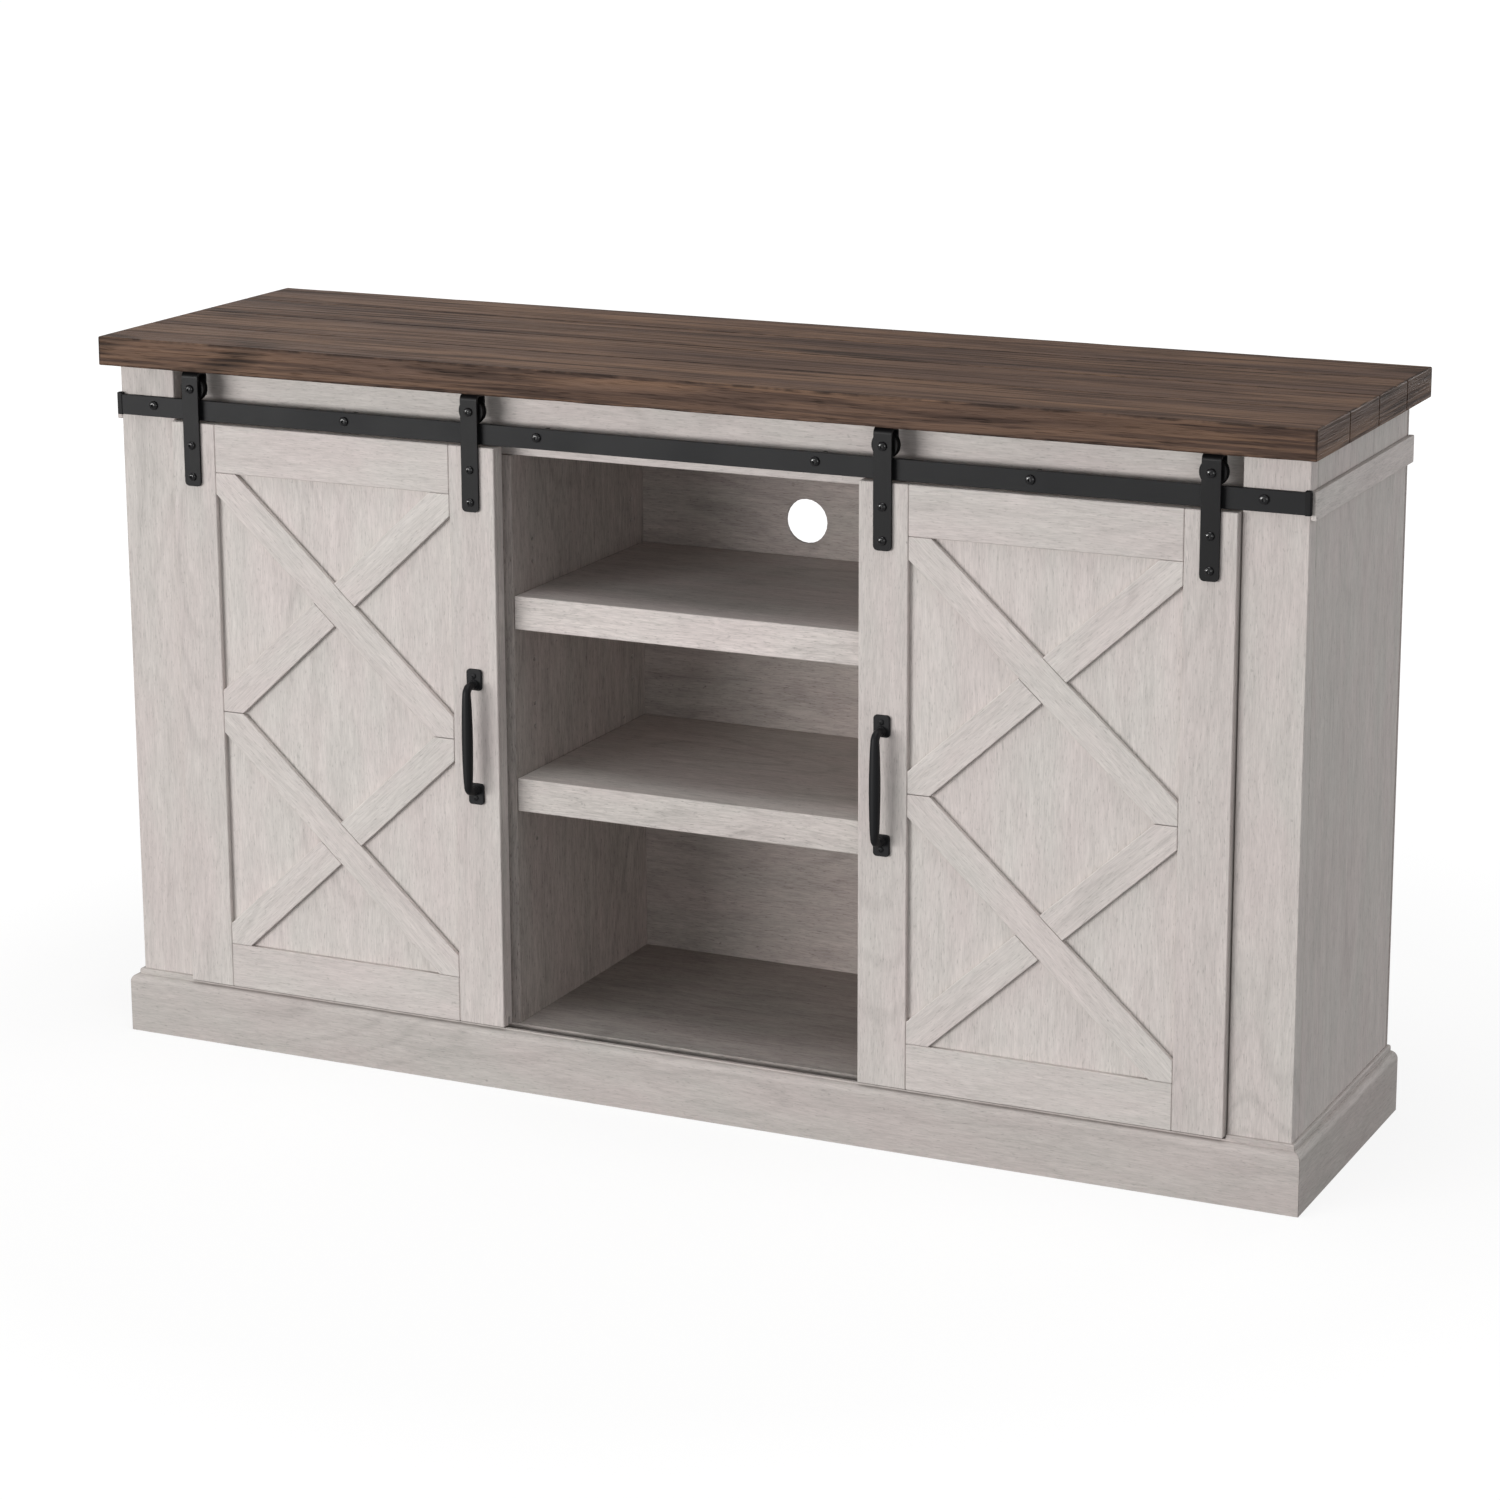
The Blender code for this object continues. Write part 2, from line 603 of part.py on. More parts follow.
def make_handle(side, x, door):
    """A cast pull: a spindle grip on two feet, each foot on a small plate."""
    plate_y = DOOR_FRONT - GAP - PLATE_THICK / 2
    grip_y = DOOR_FRONT - GAP - PLATE_THICK - GRIP_REACH + GRIP_RADIUS
    foot_z = (HANDLE_LENGTH - PLATE_HEIGHT) / 2
    name = f"{side}_door_handle"
    curve = bpy.data.curves.new(name, "CURVE")
    curve.dimensions = "3D"
    curve.bevel_depth = GRIP_RADIUS
    curve.bevel_resolution = 2
    curve.use_fill_caps = True
    curve.resolution_u = 5
    line = curve.splines.new("BEZIER")
    line.radius_interpolation = "EASE"
    neck = GRIP_NECK / GRIP_RADIUS
    foot_y = plate_y - DOOR_FRONT
    line_y = grip_y - DOOR_FRONT
    bend = GRIP_BEND
    # Each station: place, direction of travel, pull of the curve's handles, swell
    stations = [
        ((foot_y, foot_z), (-1, 0), bend / 2, neck), ((line_y, foot_z - bend), (0, -1), bend / 2, neck),
        ((line_y, 0), (0, -1), foot_z / 3, 1.0),
        ((line_y, bend - foot_z), (0, -1), bend / 2, neck), ((foot_y, -foot_z), (1, 0), bend / 2, neck),
    ]
    line.bezier_points.add(len(stations) - 1)
    for point, (spot, heading, pull, swell) in zip(line.bezier_points, stations):
        middle = Vector((0, *spot))
        step = Vector((0, *heading)) * pull
        point.handle_left_type = "FREE"
        point.handle_right_type = "FREE"
        point.co = middle
        point.handle_left = middle - step
        point.handle_right = middle + step
        point.radius = swell
    handle = add_piece(name, solid_mesh(name, curve), "black_metal",
                       (x, DOOR_FRONT, HANDLE_CENTRE_Z), door)
    for end, z in (("upper", foot_z), ("lower", -foot_z)):
        plate_name = f"{name}_{end}_plate"
        plate = box_mesh(plate_name, (PLATE_WIDTH, PLATE_THICK, PLATE_HEIGHT))
        cut(handle, add_cutter(plate_name, plate, (x, plate_y, HANDLE_CENTRE_Z + z)), "UNION")


def hanger_outline():
    """The strap's section: a long front leg, a bend over the wheel and a short back leg."""
    inner_top = STRAP_TOP - STRAP_THICK
    inner_bend = inner_top - STRAP_BEND
    outer_bend = STRAP_BEND + STRAP_THICK
    foot = STRAP_TOP - STRAP_LENGTH
    back_foot = AXLE_Z - BACK_LEG_BELOW_AXLE
    front_centre = (STRAP_BACK + STRAP_BEND, inner_bend)
    back_centre = (BACK_LEG_INNER - STRAP_BEND, inner_bend)
    return [
        (STRAP_FRONT, foot), (STRAP_BACK, foot),
        *arc(front_centre, STRAP_BEND, 180, 90, 3),
        *arc(back_centre, STRAP_BEND, 90, 0, 3),
        (BACK_LEG_INNER, back_foot), (BACK_LEG_OUTER, back_foot),
        *arc(back_centre, outer_bend, 0, 90, 4),
        *arc(front_centre, outer_bend, 90, 180, 4),
    ]


def make_hanger(side, place, x, door):
    """One strap with its axle and grooved wheel."""
    name = f"{side}_door_{place}_hanger"
    mesh = solid_mesh(name, outline_curve(name, hanger_outline(), STRAP_WIDTH))
    shape = bmesh.new()
    shape.from_mesh(mesh)
    lowest = min(vert.co.y for vert in shape.verts)
    corners = [edge for edge in shape.edges
               if all(vert.co.y < lowest + GAP for vert in edge.verts)
               and abs(edge.verts[0].co.z - edge.verts[1].co.z) < GAP]
    bmesh.ops.bevel(shape, geom=corners, offset=STRAP_CORNER, segments=3, profile=0.5,
                    affect="EDGES")
    shape.to_mesh(mesh)
    shape.free()
    strap = add_piece(name, mesh, "black_metal", (x, 0, 0), door,
                      section((0, 1, 0), (0, 0, 1)))
    drill(strap, (x, WHEEL_Y, AXLE_Z), AXLE_RADIUS + BORE_CLEAR, 3 * (BACK_LEG_OUTER - STRAP_FRONT))
    make_axle(f"{side}_door_{place}_axle", x, door)
    make_wheel(f"{side}_door_{place}_wheel", x, door)


def make_axle(name, x, door):
    """A domed axle bolt with its nut behind the back leg."""
    back = BACK_LEG_OUTER + GAP - WHEEL_Y
    front = STRAP_FRONT - GAP - WHEEL_Y
    profile = [
        (0, back + AXLE_NUT_HEIGHT), (AXLE_NUT_RADIUS, back + AXLE_NUT_HEIGHT),
        (AXLE_NUT_RADIUS, back), (AXLE_RADIUS, back), (AXLE_RADIUS, front),
        *domed_head(AXLE_HEAD_RADIUS, front, AXLE_HEAD_EDGE, AXLE_HEAD_HEIGHT),
    ]
    turned(name, profile, False, "black_metal", (x, WHEEL_Y, AXLE_Z), door,
           steps=ROUND_STEPS - 4)


def make_wheel(name, x, door):
    """A wheel whose groove straddles the rail, with recessed webs and a plain bore."""
    groove = RAIL_THICK / 2 + GAP
    half = groove + FLANGE_THICK
    web = half - WHEEL_WEB_RECESS
    rim = ROLL_RADIUS - RIM_WALL
    bore = AXLE_RADIUS + BORE_CLEAR
    profile = [
        (HUB_RADIUS, half), (HUB_RADIUS, web), (rim, web), (rim, half),
        (FLANGE_RADIUS, half), (FLANGE_RADIUS, groove), (ROLL_RADIUS, groove),
        (ROLL_RADIUS, -groove), (FLANGE_RADIUS, -groove), (FLANGE_RADIUS, -half),
        (rim, -half), (rim, -web), (HUB_RADIUS, -web), (HUB_RADIUS, -half),
        (bore, -half), (bore, half),
    ]
    turned(name, profile, True, "black_plastic", (x, WHEEL_Y, AXLE_Z), door)


def make_door(side, sign):
    """One sliding door under an empty whose place is on the door's slide line."""
    door = bpy.data.objects.new(f"{side}_door", None)
    PIECES.objects.link(door)
    door.location = (sign * (DOOR_OUTER + DOOR_INNER) / 2, WHEEL_Y, AXLE_Z)
    make_door_board(side, door)
    make_door_trim(side, sign, door)
    make_handle(side, sign * HANGER_X["inner"], door)
    for place, x in HANGER_X.items():
        make_hanger(side, place, sign * x, door)


SIDES = (("left", -1), ("right", 1))

clear_scene()
PIECES = new_collection("tv_stand")
CUTTERS = new_collection("cutters")
make_top()
make_fascia()
make_floor_and_back()
make_shelves()
make_plinth()
make_rail()
for stand_side, stand_sign in SIDES:
    make_sides(stand_side, stand_sign)
    make_divider(stand_side, stand_sign)
    make_guide(stand_side, stand_sign)
    make_door(stand_side, stand_sign)
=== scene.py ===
# %% [markdown]
# # A television stand with two sliding barn doors
# The stand is a low cabinet of whitewashed boards under a brown plank top. Two doors with
# crossed slats hang from steel straps, and the straps roll on a flat rail across the front.
#
# The engineering model comes first and stays as it is: it fixes every size, place and joint.
# This lesson adds what the eye sees. A node whose shape is already right only gets a better
# finish. A node that is too plain for a close look, such as a bolt or a handle, is replaced by
# a new piece with the same size and place.

# %% Load the fixed frame
import math

import bmesh
import bpy
from mathutils import Matrix, Vector, noise


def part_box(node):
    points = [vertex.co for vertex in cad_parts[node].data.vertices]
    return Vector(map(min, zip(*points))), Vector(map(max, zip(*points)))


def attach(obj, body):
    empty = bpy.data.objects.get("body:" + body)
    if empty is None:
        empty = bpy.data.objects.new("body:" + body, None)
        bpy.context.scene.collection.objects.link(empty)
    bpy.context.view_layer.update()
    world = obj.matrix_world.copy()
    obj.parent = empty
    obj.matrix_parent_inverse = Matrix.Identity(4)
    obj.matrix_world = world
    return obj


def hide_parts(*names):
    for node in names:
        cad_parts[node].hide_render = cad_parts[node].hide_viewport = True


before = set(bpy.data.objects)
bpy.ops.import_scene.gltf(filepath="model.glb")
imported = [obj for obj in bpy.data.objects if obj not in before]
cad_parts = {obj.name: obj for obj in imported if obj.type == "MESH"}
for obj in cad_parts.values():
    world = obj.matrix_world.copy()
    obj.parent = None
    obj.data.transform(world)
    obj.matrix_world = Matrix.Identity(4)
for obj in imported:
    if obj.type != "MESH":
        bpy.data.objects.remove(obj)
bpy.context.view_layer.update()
SIDES = (("left", -1), ("right", 1))

# %% [markdown]
# ## Shader helpers
# A finish is a tree of small nodes, and most lines of such a tree only say which value goes
# into which socket. One function that makes a node and fills its sockets keeps the rest short.
# Another makes a node group, which is a finish's recipe: it is built once and then placed in
# as many materials as need it, each with its own values.

# %% Make a node, a group and a material
def add(tree, kind, inputs=None, **settings):
    """A shader node with its settings made and its sockets set or linked."""
    made = tree.nodes.new("ShaderNode" + kind)
    for name, value in settings.items():
        setattr(made, name, value)
    for socket, value in (inputs or {}).items():
        if isinstance(value, bpy.types.NodeSocket):
            tree.links.new(value, made.inputs[socket])
        else:
            made.inputs[socket].default_value = value
    return made


def new_group(name, inputs, outputs):
    """An empty node group with named sockets: its tree, its inputs and where its outputs go."""
    tree = bpy.data.node_groups.new(name, "ShaderNodeTree")
    for label, kind, value in inputs:
        socket = tree.interface.new_socket(label, in_out="INPUT", socket_type="NodeSocket" + kind)
        if value is not None:
            socket.default_value = value
    for label, kind in outputs:
        tree.interface.new_socket(label, in_out="OUTPUT", socket_type="NodeSocket" + kind)
    return tree, tree.nodes.new("NodeGroupInput").outputs, tree.nodes.new("NodeGroupOutput").inputs


def new_material(name):
    """A material, its node tree and its Principled shader."""
    material = bpy.data.materials.new(name)
    material.use_nodes = True
    return material, material.node_tree, material.node_tree.nodes["Principled BSDF"]


def remap(tree, value, low, high, to_low=0.0, to_high=1.0):
    """A value's range stretched to another, and held at its ends."""
    limits = {"Value": value, "From Min": low, "From Max": high, "To Min": to_low, "To Max": to_high}
    return add(tree, "MapRange", limits).outputs[0]


def maths(tree, operation, *values):
    """The result of a sum on numbers."""
    return add(tree, "Math", dict(enumerate(values)), operation=operation).outputs[0]


def vector_maths(tree, operation, first, second=None):
    """The result of a sum on vectors."""
    inputs = {0: first} if second is None else {0: first, 1: second}
    return add(tree, "VectorMath", inputs, operation=operation).outputs[0]


def scaled(tree, colour, level):
    """A colour made lighter or darker by a level."""
    return add(tree, "VectorMath", {0: colour, "Scale": level}, operation="SCALE").outputs[0]


def blend_colours(tree, share, first, second):
    """The first colour where the share is 0 and the second where it is 1."""
    return add(tree, "Mix", {0: share, 6: first, 7: second}, data_type="RGBA").outputs[2]


def dress(tree, shader, colour, skin, bump, gloss):
    """Feeds a finish to the shader: its colour, roughness and relief, and how much it shines."""
    relief = add(tree, "Bump", {"Height": skin["Height"], "Strength": 1.0, "Distance": bump})
    tree.links.new(colour, shader.inputs["Base Color"])
    tree.links.new(skin["Roughness"], shader.inputs["Roughness"])
    tree.links.new(relief.outputs[0], shader.inputs["Normal"])
    shader.inputs["Specular IOR Level"].default_value = gloss


print("shader helpers ready")

# %% [markdown]
# ## The figure of wood
# All the boards here have a printed or sawn wood figure: wide soft patches, streaks a few
# millimetres wide, fine fibres, short dark pores, and now and then a cathedral arch where the
# saw met a growth ring at a slant. A picture of wood would show its tile edges, so the figure
# is made from noise instead. Every layer is the same noise, squeezed across the grain by a
# different amount. The arches are the contour lines of a slow noise, as growth rings are the
# contour lines of a trunk. The group takes its grain along X, and each material turns its
# board's coordinates to suit.

# %% The shared wood figure
# Each layer: cycles a metre along and across the grain, octaves, and the noise values between
# which the layer comes in.
GRAIN_LAYERS = {
    "Patches": (3.4, 20.0, 5.0, 0.38, 0.62),
    "Bands": (3.8, 60.0, 3.0, 0.32, 0.68),
    "Streaks": (11.0, 240.0, 3.0, 0.34, 0.70),
    "Fibres": (32.0, 900.0, 2.0, 0.32, 0.68),
    "Pores": (80.0, 1000.0, 1.0, 0.60, 0.72),
}
LAYERS = (*GRAIN_LAYERS, "Arches", "Marks")
SWAY_PITCH = (2.0, 5.0, 5.0)
SWAY_REACH = (0.0, 0.014, 0.014)
RING_COUNT = 95.0


def drawn_out(tree, vector, seed, along, across, detail=2.0):
    """Noise that is long along the grain: both frequencies are in cycles a metre."""
    laid = vector_maths(tree, "MULTIPLY", vector, (along, across, across))
    sockets = {"Vector": laid, "W": seed, "Scale": 1.0, "Detail": detail}
    return add(tree, "TexNoise", sockets, noise_dimensions="4D").outputs[0]


def swayed(tree, vector, seed):
    """Coordinates whose grain wanders a little, so that no streak is a ruled line."""
    sockets = {"Vector": vector_maths(tree, "MULTIPLY", vector, SWAY_PITCH), "W": seed, "Scale": 1.0,
               "Detail": 2.0}
    drift = add(tree, "TexNoise", sockets, noise_dimensions="4D").outputs[1]
    centred = vector_maths(tree, "SUBTRACT", drift, (0.5, 0.5, 0.5))
    return vector_maths(tree, "ADD", vector, vector_maths(tree, "MULTIPLY", centred, SWAY_REACH))


def build_figure():
    """The group that gives the layers of a wood figure."""
    tree, given, result = new_group(
        "wood_figure",
        [("Vector", "Vector", None), ("Seed", "Float", 0.0), ("Shortness", "Float", 1.0)],
        [(name, "Float") for name in LAYERS])
    seed = given["Seed"]
    pace = add(tree, "CombineXYZ", {"X": given["Shortness"], "Y": 1.0, "Z": 1.0}).outputs[0]
    vector = vector_maths(tree, "MULTIPLY", given["Vector"], pace)
    grain = swayed(tree, vector, seed)
    for name, (along, across, detail, low, high) in GRAIN_LAYERS.items():
        layer = drawn_out(tree, grain, seed, along, across, detail)
        tree.links.new(remap(tree, layer, low, high), result[name])
    # Growth rings show as arches, and only in some places along a board.
    slow = drawn_out(tree, grain, seed, 1.1, 7.0, 1.0)
    rings = maths(tree, "SINE", maths(tree, "MULTIPLY", slow, RING_COUNT))
    where = remap(tree, drawn_out(tree, vector, seed, 1.5, 6.0), 0.50, 0.62)
    tree.links.new(maths(tree, "MULTIPLY", remap(tree, rings, 0.45, 1.0), where), result["Arches"])
    # Marks are small knocks, and so they take no notice of the grain's sway.
    marks = drawn_out(tree, vector, seed, 55.0, 120.0, 3.0)
    tree.links.new(remap(tree, marks, 0.70, 0.76), result["Marks"])
    return tree


FIGURE = build_figure()
print("wood figure:", len(FIGURE.nodes), "nodes")

# %% [markdown]
# ## The whitewash
# The carcass is whitewashed: a thin grey wash over pale wood, a little pink in some places and
# a little green in others, with the grain showing through. A finish like this could be painted
# on each board, but a group that turns the figure's layers into a colour, a roughness and a
# height for the bump serves them all.

# %% The whitewash
WASH_PINK = (0.622, 0.566, 0.546, 1.0)
WASH_GREEN = (0.626, 0.592, 0.564, 1.0)
WASH_DEPTHS = {"Patches": 0.03, "Bands": 0.07, "Streaks": 0.075, "Fibres": 0.15, "Pores": 0.16,
               "Arches": 0.07, "Marks": 0.18}
WASH_LEVEL = 1.185
WASH_ROUGH = (0.60, 0.72)


def layers_of(sockets):
    """The figure's layers by name, from a node's outputs or a group's inputs."""
    return {layer: sockets[layer] for layer in LAYERS}


def shaded(tree, layers, depths, strength):
    """One, less each layer's share of darkness, and all of it deepened by a strength."""
    loss = 0.0
    for layer, depth in depths.items():
        loss = maths(tree, "MULTIPLY_ADD", layers[layer], -depth, loss)
    return maths(tree, "MULTIPLY_ADD", loss, strength, 1.0)


def finish_group(name):
    """An empty finish that takes the figure's layers."""
    return new_group(name, [(layer, "Float", 0.0) for layer in LAYERS] + [("Depth", "Float", 1.0)],
                     [("Color", "Color"), ("Roughness", "Float"), ("Height", "Float")])


def put_out(tree, result, colour, level, streaks, rough):
    """Sends a finish's colour at its level, its roughness and its height to the outputs."""
    tree.links.new(scaled(tree, colour, level), result["Color"])
    tree.links.new(remap(tree, streaks, 0.0, 1.0, *rough), result["Roughness"])
    tree.links.new(level, result["Height"])


def build_whitewash():
    """Two pale washes in patches, darkened by the grain."""
    tree, given, result = finish_group("whitewash")
    wash = blend_colours(tree, given["Patches"], WASH_PINK, WASH_GREEN)
    level = shaded(tree, layers_of(given), WASH_DEPTHS, given["Depth"])
    put_out(tree, result, wash, maths(tree, "MULTIPLY", level, WASH_LEVEL), given["Streaks"], WASH_ROUGH)
    return tree


WHITEWASH = build_whitewash()
print("finish:", WHITEWASH.name)

# %% [markdown]
# ## The weathered brown
# The top is a weathered brown with near-black streaks, and some warm orange where the wood is
# bare. It is a second finish on the same figure, so its group takes the same layers. The dark
# streaks come first, and the warmth shows only where they leave room.

# %% The weathered brown
BROWN_DEEP = (0.068, 0.041, 0.031, 1.0)
BROWN_MID = (0.124, 0.077, 0.057, 1.0)
BROWN_WARM = (0.192, 0.112, 0.068, 1.0)
BROWN_DEPTHS = {"Streaks": 0.28, "Fibres": 0.26, "Pores": 0.30, "Arches": 0.38, "Marks": 0.22}
BROWN_LEVEL = 1.35
BROWN_DARKEST = 0.12
BROWN_ROUGH = (0.50, 0.66)
WARM_SHARE = 0.75


def build_weathered():
    """Brown in bands, warm where no dark streak lies over it."""
    tree, given, result = finish_group("weathered_brown")
    body = blend_colours(tree, given["Bands"], BROWN_MID, BROWN_DEEP)
    dark = remap(tree, given["Streaks"], 0.35, 0.80)
    warmth = maths(tree, "MULTIPLY", given["Patches"], remap(tree, dark, 0.75, 0.15))
    body = blend_colours(tree, maths(tree, "MULTIPLY", warmth, WARM_SHARE), body, BROWN_WARM)
    level = shaded(tree, {**layers_of(given), "Streaks": dark}, BROWN_DEPTHS, given["Depth"])
    level = maths(tree, "MULTIPLY", maths(tree, "MAXIMUM", level, BROWN_DARKEST), BROWN_LEVEL)
    put_out(tree, result, body, level, given["Streaks"], BROWN_ROUGH)
    return tree


WEATHERED = build_weathered()
print("finish:", WEATHERED.name)

# %% [markdown]
# ## Dark, worn edges
# Stain gathers where a board's edges are eased, and so the planks of the top are outlined by a
# broken dark line. For a board that is a box, the distance to its nearest edge can be worked
# out: a point is near an edge when it is close to two pairs of faces at once. Noise breaks the
# line up.

# %% A mask of a box's edges
def build_edges():
    """The group that is 1 along the edges of a box and 0 elsewhere, with gaps."""
    tree, given, result = new_group(
        "box_edges",
        [("Vector", "Vector", None), ("Middle", "Vector", None), ("Half", "Vector", None),
         ("Width", "Float", 0.002)],
        [("Mask", "Float")])
    reach = vector_maths(tree, "ABSOLUTE", vector_maths(tree, "SUBTRACT", given["Vector"], given["Middle"]))
    depth = vector_maths(tree, "SUBTRACT", given["Half"], reach)
    x, y, z = add(tree, "SeparateXYZ", {0: depth}).outputs[:]
    pairs = [maths(tree, "MAXIMUM", first, second) for first, second in ((x, y), (y, z), (x, z))]
    nearest = maths(tree, "MINIMUM", maths(tree, "MINIMUM", pairs[0], pairs[1]), pairs[2])
    line = remap(tree, maths(tree, "DIVIDE", nearest, given["Width"]), 0.4, 1.0, 1.0, 0.0)
    gaps = add(tree, "TexNoise", {"Vector": given["Vector"], "Scale": 45.0, "Detail": 4.0}).outputs[0]
    tree.links.new(maths(tree, "MULTIPLY", line, remap(tree, gaps, 0.38, 0.60)), result["Mask"])
    return tree


EDGES = build_edges()
print("edge mask:", len(EDGES.nodes), "nodes")

# %% [markdown]
# ## A material for each board
# Two boards cut from one plank never show the same figure, so each board gets a material of its
# own: the same groups with another seed. The Mapping node turns the board's coordinates until
# the grain runs along X. It is a plain turn, and so nothing has to be unwrapped.

# %% Turns for the grain, and the wood material
ALONG_X = (0.0, 0.0, 0.0)
ALONG_Y = (0.0, 0.0, -math.pi / 2)
ALONG_Z = (0.0, math.pi / 2, 0.0)
SEED_STEP = 3.71
SHORTNESS = {WHITEWASH: 2.1, WEATHERED: 0.55}
WOOD_GLOSS = {WHITEWASH: 0.22, WEATHERED: 0.14}
EDGE_LINE = 0.0034
EDGE_STAIN = (0.022, 0.014, 0.011, 1.0)
EDGE_STRENGTH = 0.8
wood_made = []


def wood(name, turn, finish=WHITEWASH, bump=0.0004, tint=None, edges=None, depth=1.0):
    """A board's own material, with its grain turned to run along the board."""
    material, tree, shader = new_material(name)
    wood_made.append(name)
    coordinates = add(tree, "TexCoord").outputs["Object"]
    laid = add(tree, "Mapping", {"Vector": coordinates, "Rotation": turn}).outputs[0]
    sockets = {"Vector": laid, "Seed": SEED_STEP * len(wood_made), "Shortness": SHORTNESS[finish]}
    figure = add(tree, "Group", sockets, node_tree=FIGURE).outputs
    skin = add(tree, "Group", {**layers_of(figure), "Depth": depth}, node_tree=finish).outputs
    colour = skin["Color"]
    if tint:
        colour = add(tree, "Mix", {0: 1.0, 6: colour, 7: tint}, data_type="RGBA",
                     blend_type="MULTIPLY").outputs[2]
    if edges:
        low, high = edges
        sockets = {"Vector": coordinates, "Middle": (low + high) / 2, "Half": (high - low) / 2,
                   "Width": EDGE_LINE}
        mask = add(tree, "Group", sockets, node_tree=EDGES).outputs["Mask"]
        colour = blend_colours(tree, maths(tree, "MULTIPLY", mask, EDGE_STRENGTH), colour, EDGE_STAIN)
    dress(tree, shader, colour, skin, bump, WOOD_GLOSS[finish])
    return material


print("wood material ready")

# %% [markdown]
# ## Black powder coat and black plastic
# The rail, straps, bolts and handles are steel with a black powder coat, which dries with a
# fine orange-peel skin and a soft sheen. The wheels and the floor guides are moulded nylon,
# darker and duller. All of them, and the zinc plate of the shelf pins, are one recipe: a base
# colour that barely varies, and a bump of fine noise. Only the values differ.

# %% The coat group and its materials
def build_coat():
    """The group for a sprayed, plated or moulded skin."""
    tree, given, result = new_group(
        "coat_skin",
        [("Vector", "Vector", None), ("Base", "Color", (0.03, 0.03, 0.03, 1.0)),
         ("Grain", "Float", 900.0), ("Dullness", "Float", 0.5)],
        [("Color", "Color"), ("Roughness", "Float"), ("Height", "Float")])
    sockets = {"Vector": given["Vector"], "Scale": given["Grain"], "Detail": 2.0}
    skin = add(tree, "TexNoise", sockets).outputs[0]
    clouds = add(tree, "TexNoise", {"Vector": given["Vector"], "Scale": 14.0, "Detail": 3.0}).outputs[0]
    tinted = scaled(tree, given["Base"], remap(tree, clouds, 0.3, 0.7, 0.90, 1.12))
    tree.links.new(tinted, result["Color"])
    spread = remap(tree, clouds, 0.3, 0.7, -0.05, 0.05)
    tree.links.new(maths(tree, "ADD", given["Dullness"], spread), result["Roughness"])
    tree.links.new(skin, result["Height"])
    return tree


COAT = build_coat()


def coated(name, base, grain, dullness, bump, gloss, metallic=0.0):
    """A material with a moulded, plated or sprayed skin."""
    material, tree, shader = new_material(name)
    coordinates = add(tree, "TexCoord").outputs["Object"]
    sockets = {"Vector": coordinates, "Base": (*base, 1.0), "Grain": grain, "Dullness": dullness}
    skin = add(tree, "Group", sockets, node_tree=COAT).outputs
    dress(tree, shader, skin["Color"], skin, bump, gloss)
    shader.inputs["Metallic"].default_value = metallic
    return material


POWDER_COAT = coated("powder_coat", base=(0.0095, 0.0098, 0.011), grain=1400.0, dullness=0.50,
                     bump=0.00004, gloss=0.22)
BOLT_BLACK = coated("bolt_black", base=(0.010, 0.010, 0.011), grain=1800.0, dullness=0.22,
                    bump=0.00002, gloss=0.70)
STRAP_BLACK = coated("strap_black", base=(0.0055, 0.0055, 0.0062), grain=1400.0, dullness=0.45,
                     bump=0.00004, gloss=0.20)
NYLON = coated("black_nylon", base=(0.005, 0.005, 0.0055), grain=1100.0, dullness=0.50,
               bump=0.00003, gloss=0.20)
PIN_STEEL = coated("zinc_plate", base=(0.52, 0.52, 0.50), grain=1600.0, dullness=0.34,
                   bump=0.00002, gloss=0.50, metallic=1.0)
print("coats:", [coat.name for coat in (POWDER_COAT, BOLT_BLACK, STRAP_BLACK, NYLON, PIN_STEEL)])

# %% [markdown]
# ## Finish the boards that stay
# Most of the cabinet is flat board with a small chamfer, and the fixed frame already has that
# shape, so these nodes keep their meshes. What a joiner would check is the direction of the
# grain: it runs up the stiles, sides and dividers, and along the rails, shelves and plinth.
# The boards inside the bays are tinted darker, which is painted shade in the bays, and they show more grain.
# The upper shelf is tinted lighter, which is painted light against the shadow of the top, and the side
# panels a little darker, which is painted shade on the side. The stiles and door rails keep a slightly
# darker tone of their own. A tint multiplies a board's colour, and a depth its grain.

# %% Tint, depth and grain direction of each carried-over board
# Tints inside the bays and on the side panels are painted shade, and the upper shelf's is painted light. The
# stiles' and door rails' tints are their own tone.
BOARD_TONE_AND_PAINTED_SHADING = {
    "bottom_panel": (0.66, 0.645, 0.635), "back_panel": (0.735, 0.705, 0.69),
    "upper_shelf": (1.09, 1.08, 1.08), "lower_shelf": (0.98, 0.97, 0.965),
    "divider": (0.82, 0.79, 0.775), "side_panel": (0.95, 0.95, 0.95),
}
BOARD_TONE_AND_PAINTED_SHADING |= {board: (0.945, 0.94, 0.94) for board in (
    "front_stile", "door_outer_stile", "door_inner_stile", "door_top_rail", "door_bottom_rail")}
BOARD_DEPTH = {"bottom_panel": 1.6, "back_panel": 1.5, "upper_shelf": 1.3, "lower_shelf": 1.3,
               "divider": 1.7}
CENTRE_BOARDS = ("upper_shelf", "lower_shelf", "bottom_panel", "back_panel", "rail_backer")
UPRIGHT_BOARDS = ("side_panel", "front_stile", "door_board", "door_outer_stile", "door_inner_stile")
SIDE_LONG_BOARDS = ("bay_shelf", "door_top_rail", "door_bottom_rail")


def board_wood(node, board, turn):
    """The wood of one board, with the tint and depth of its kind."""
    tint = BOARD_TONE_AND_PAINTED_SHADING.get(board)
    return wood(node + "_wood", turn, tint=(*tint, 1.0) if tint else None, depth=BOARD_DEPTH.get(board, 1.0))


def finish_node(node, material):
    """Gives a carried-over node its material, and leaves its mesh alone."""
    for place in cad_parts[node].material_slots:
        place.material = material


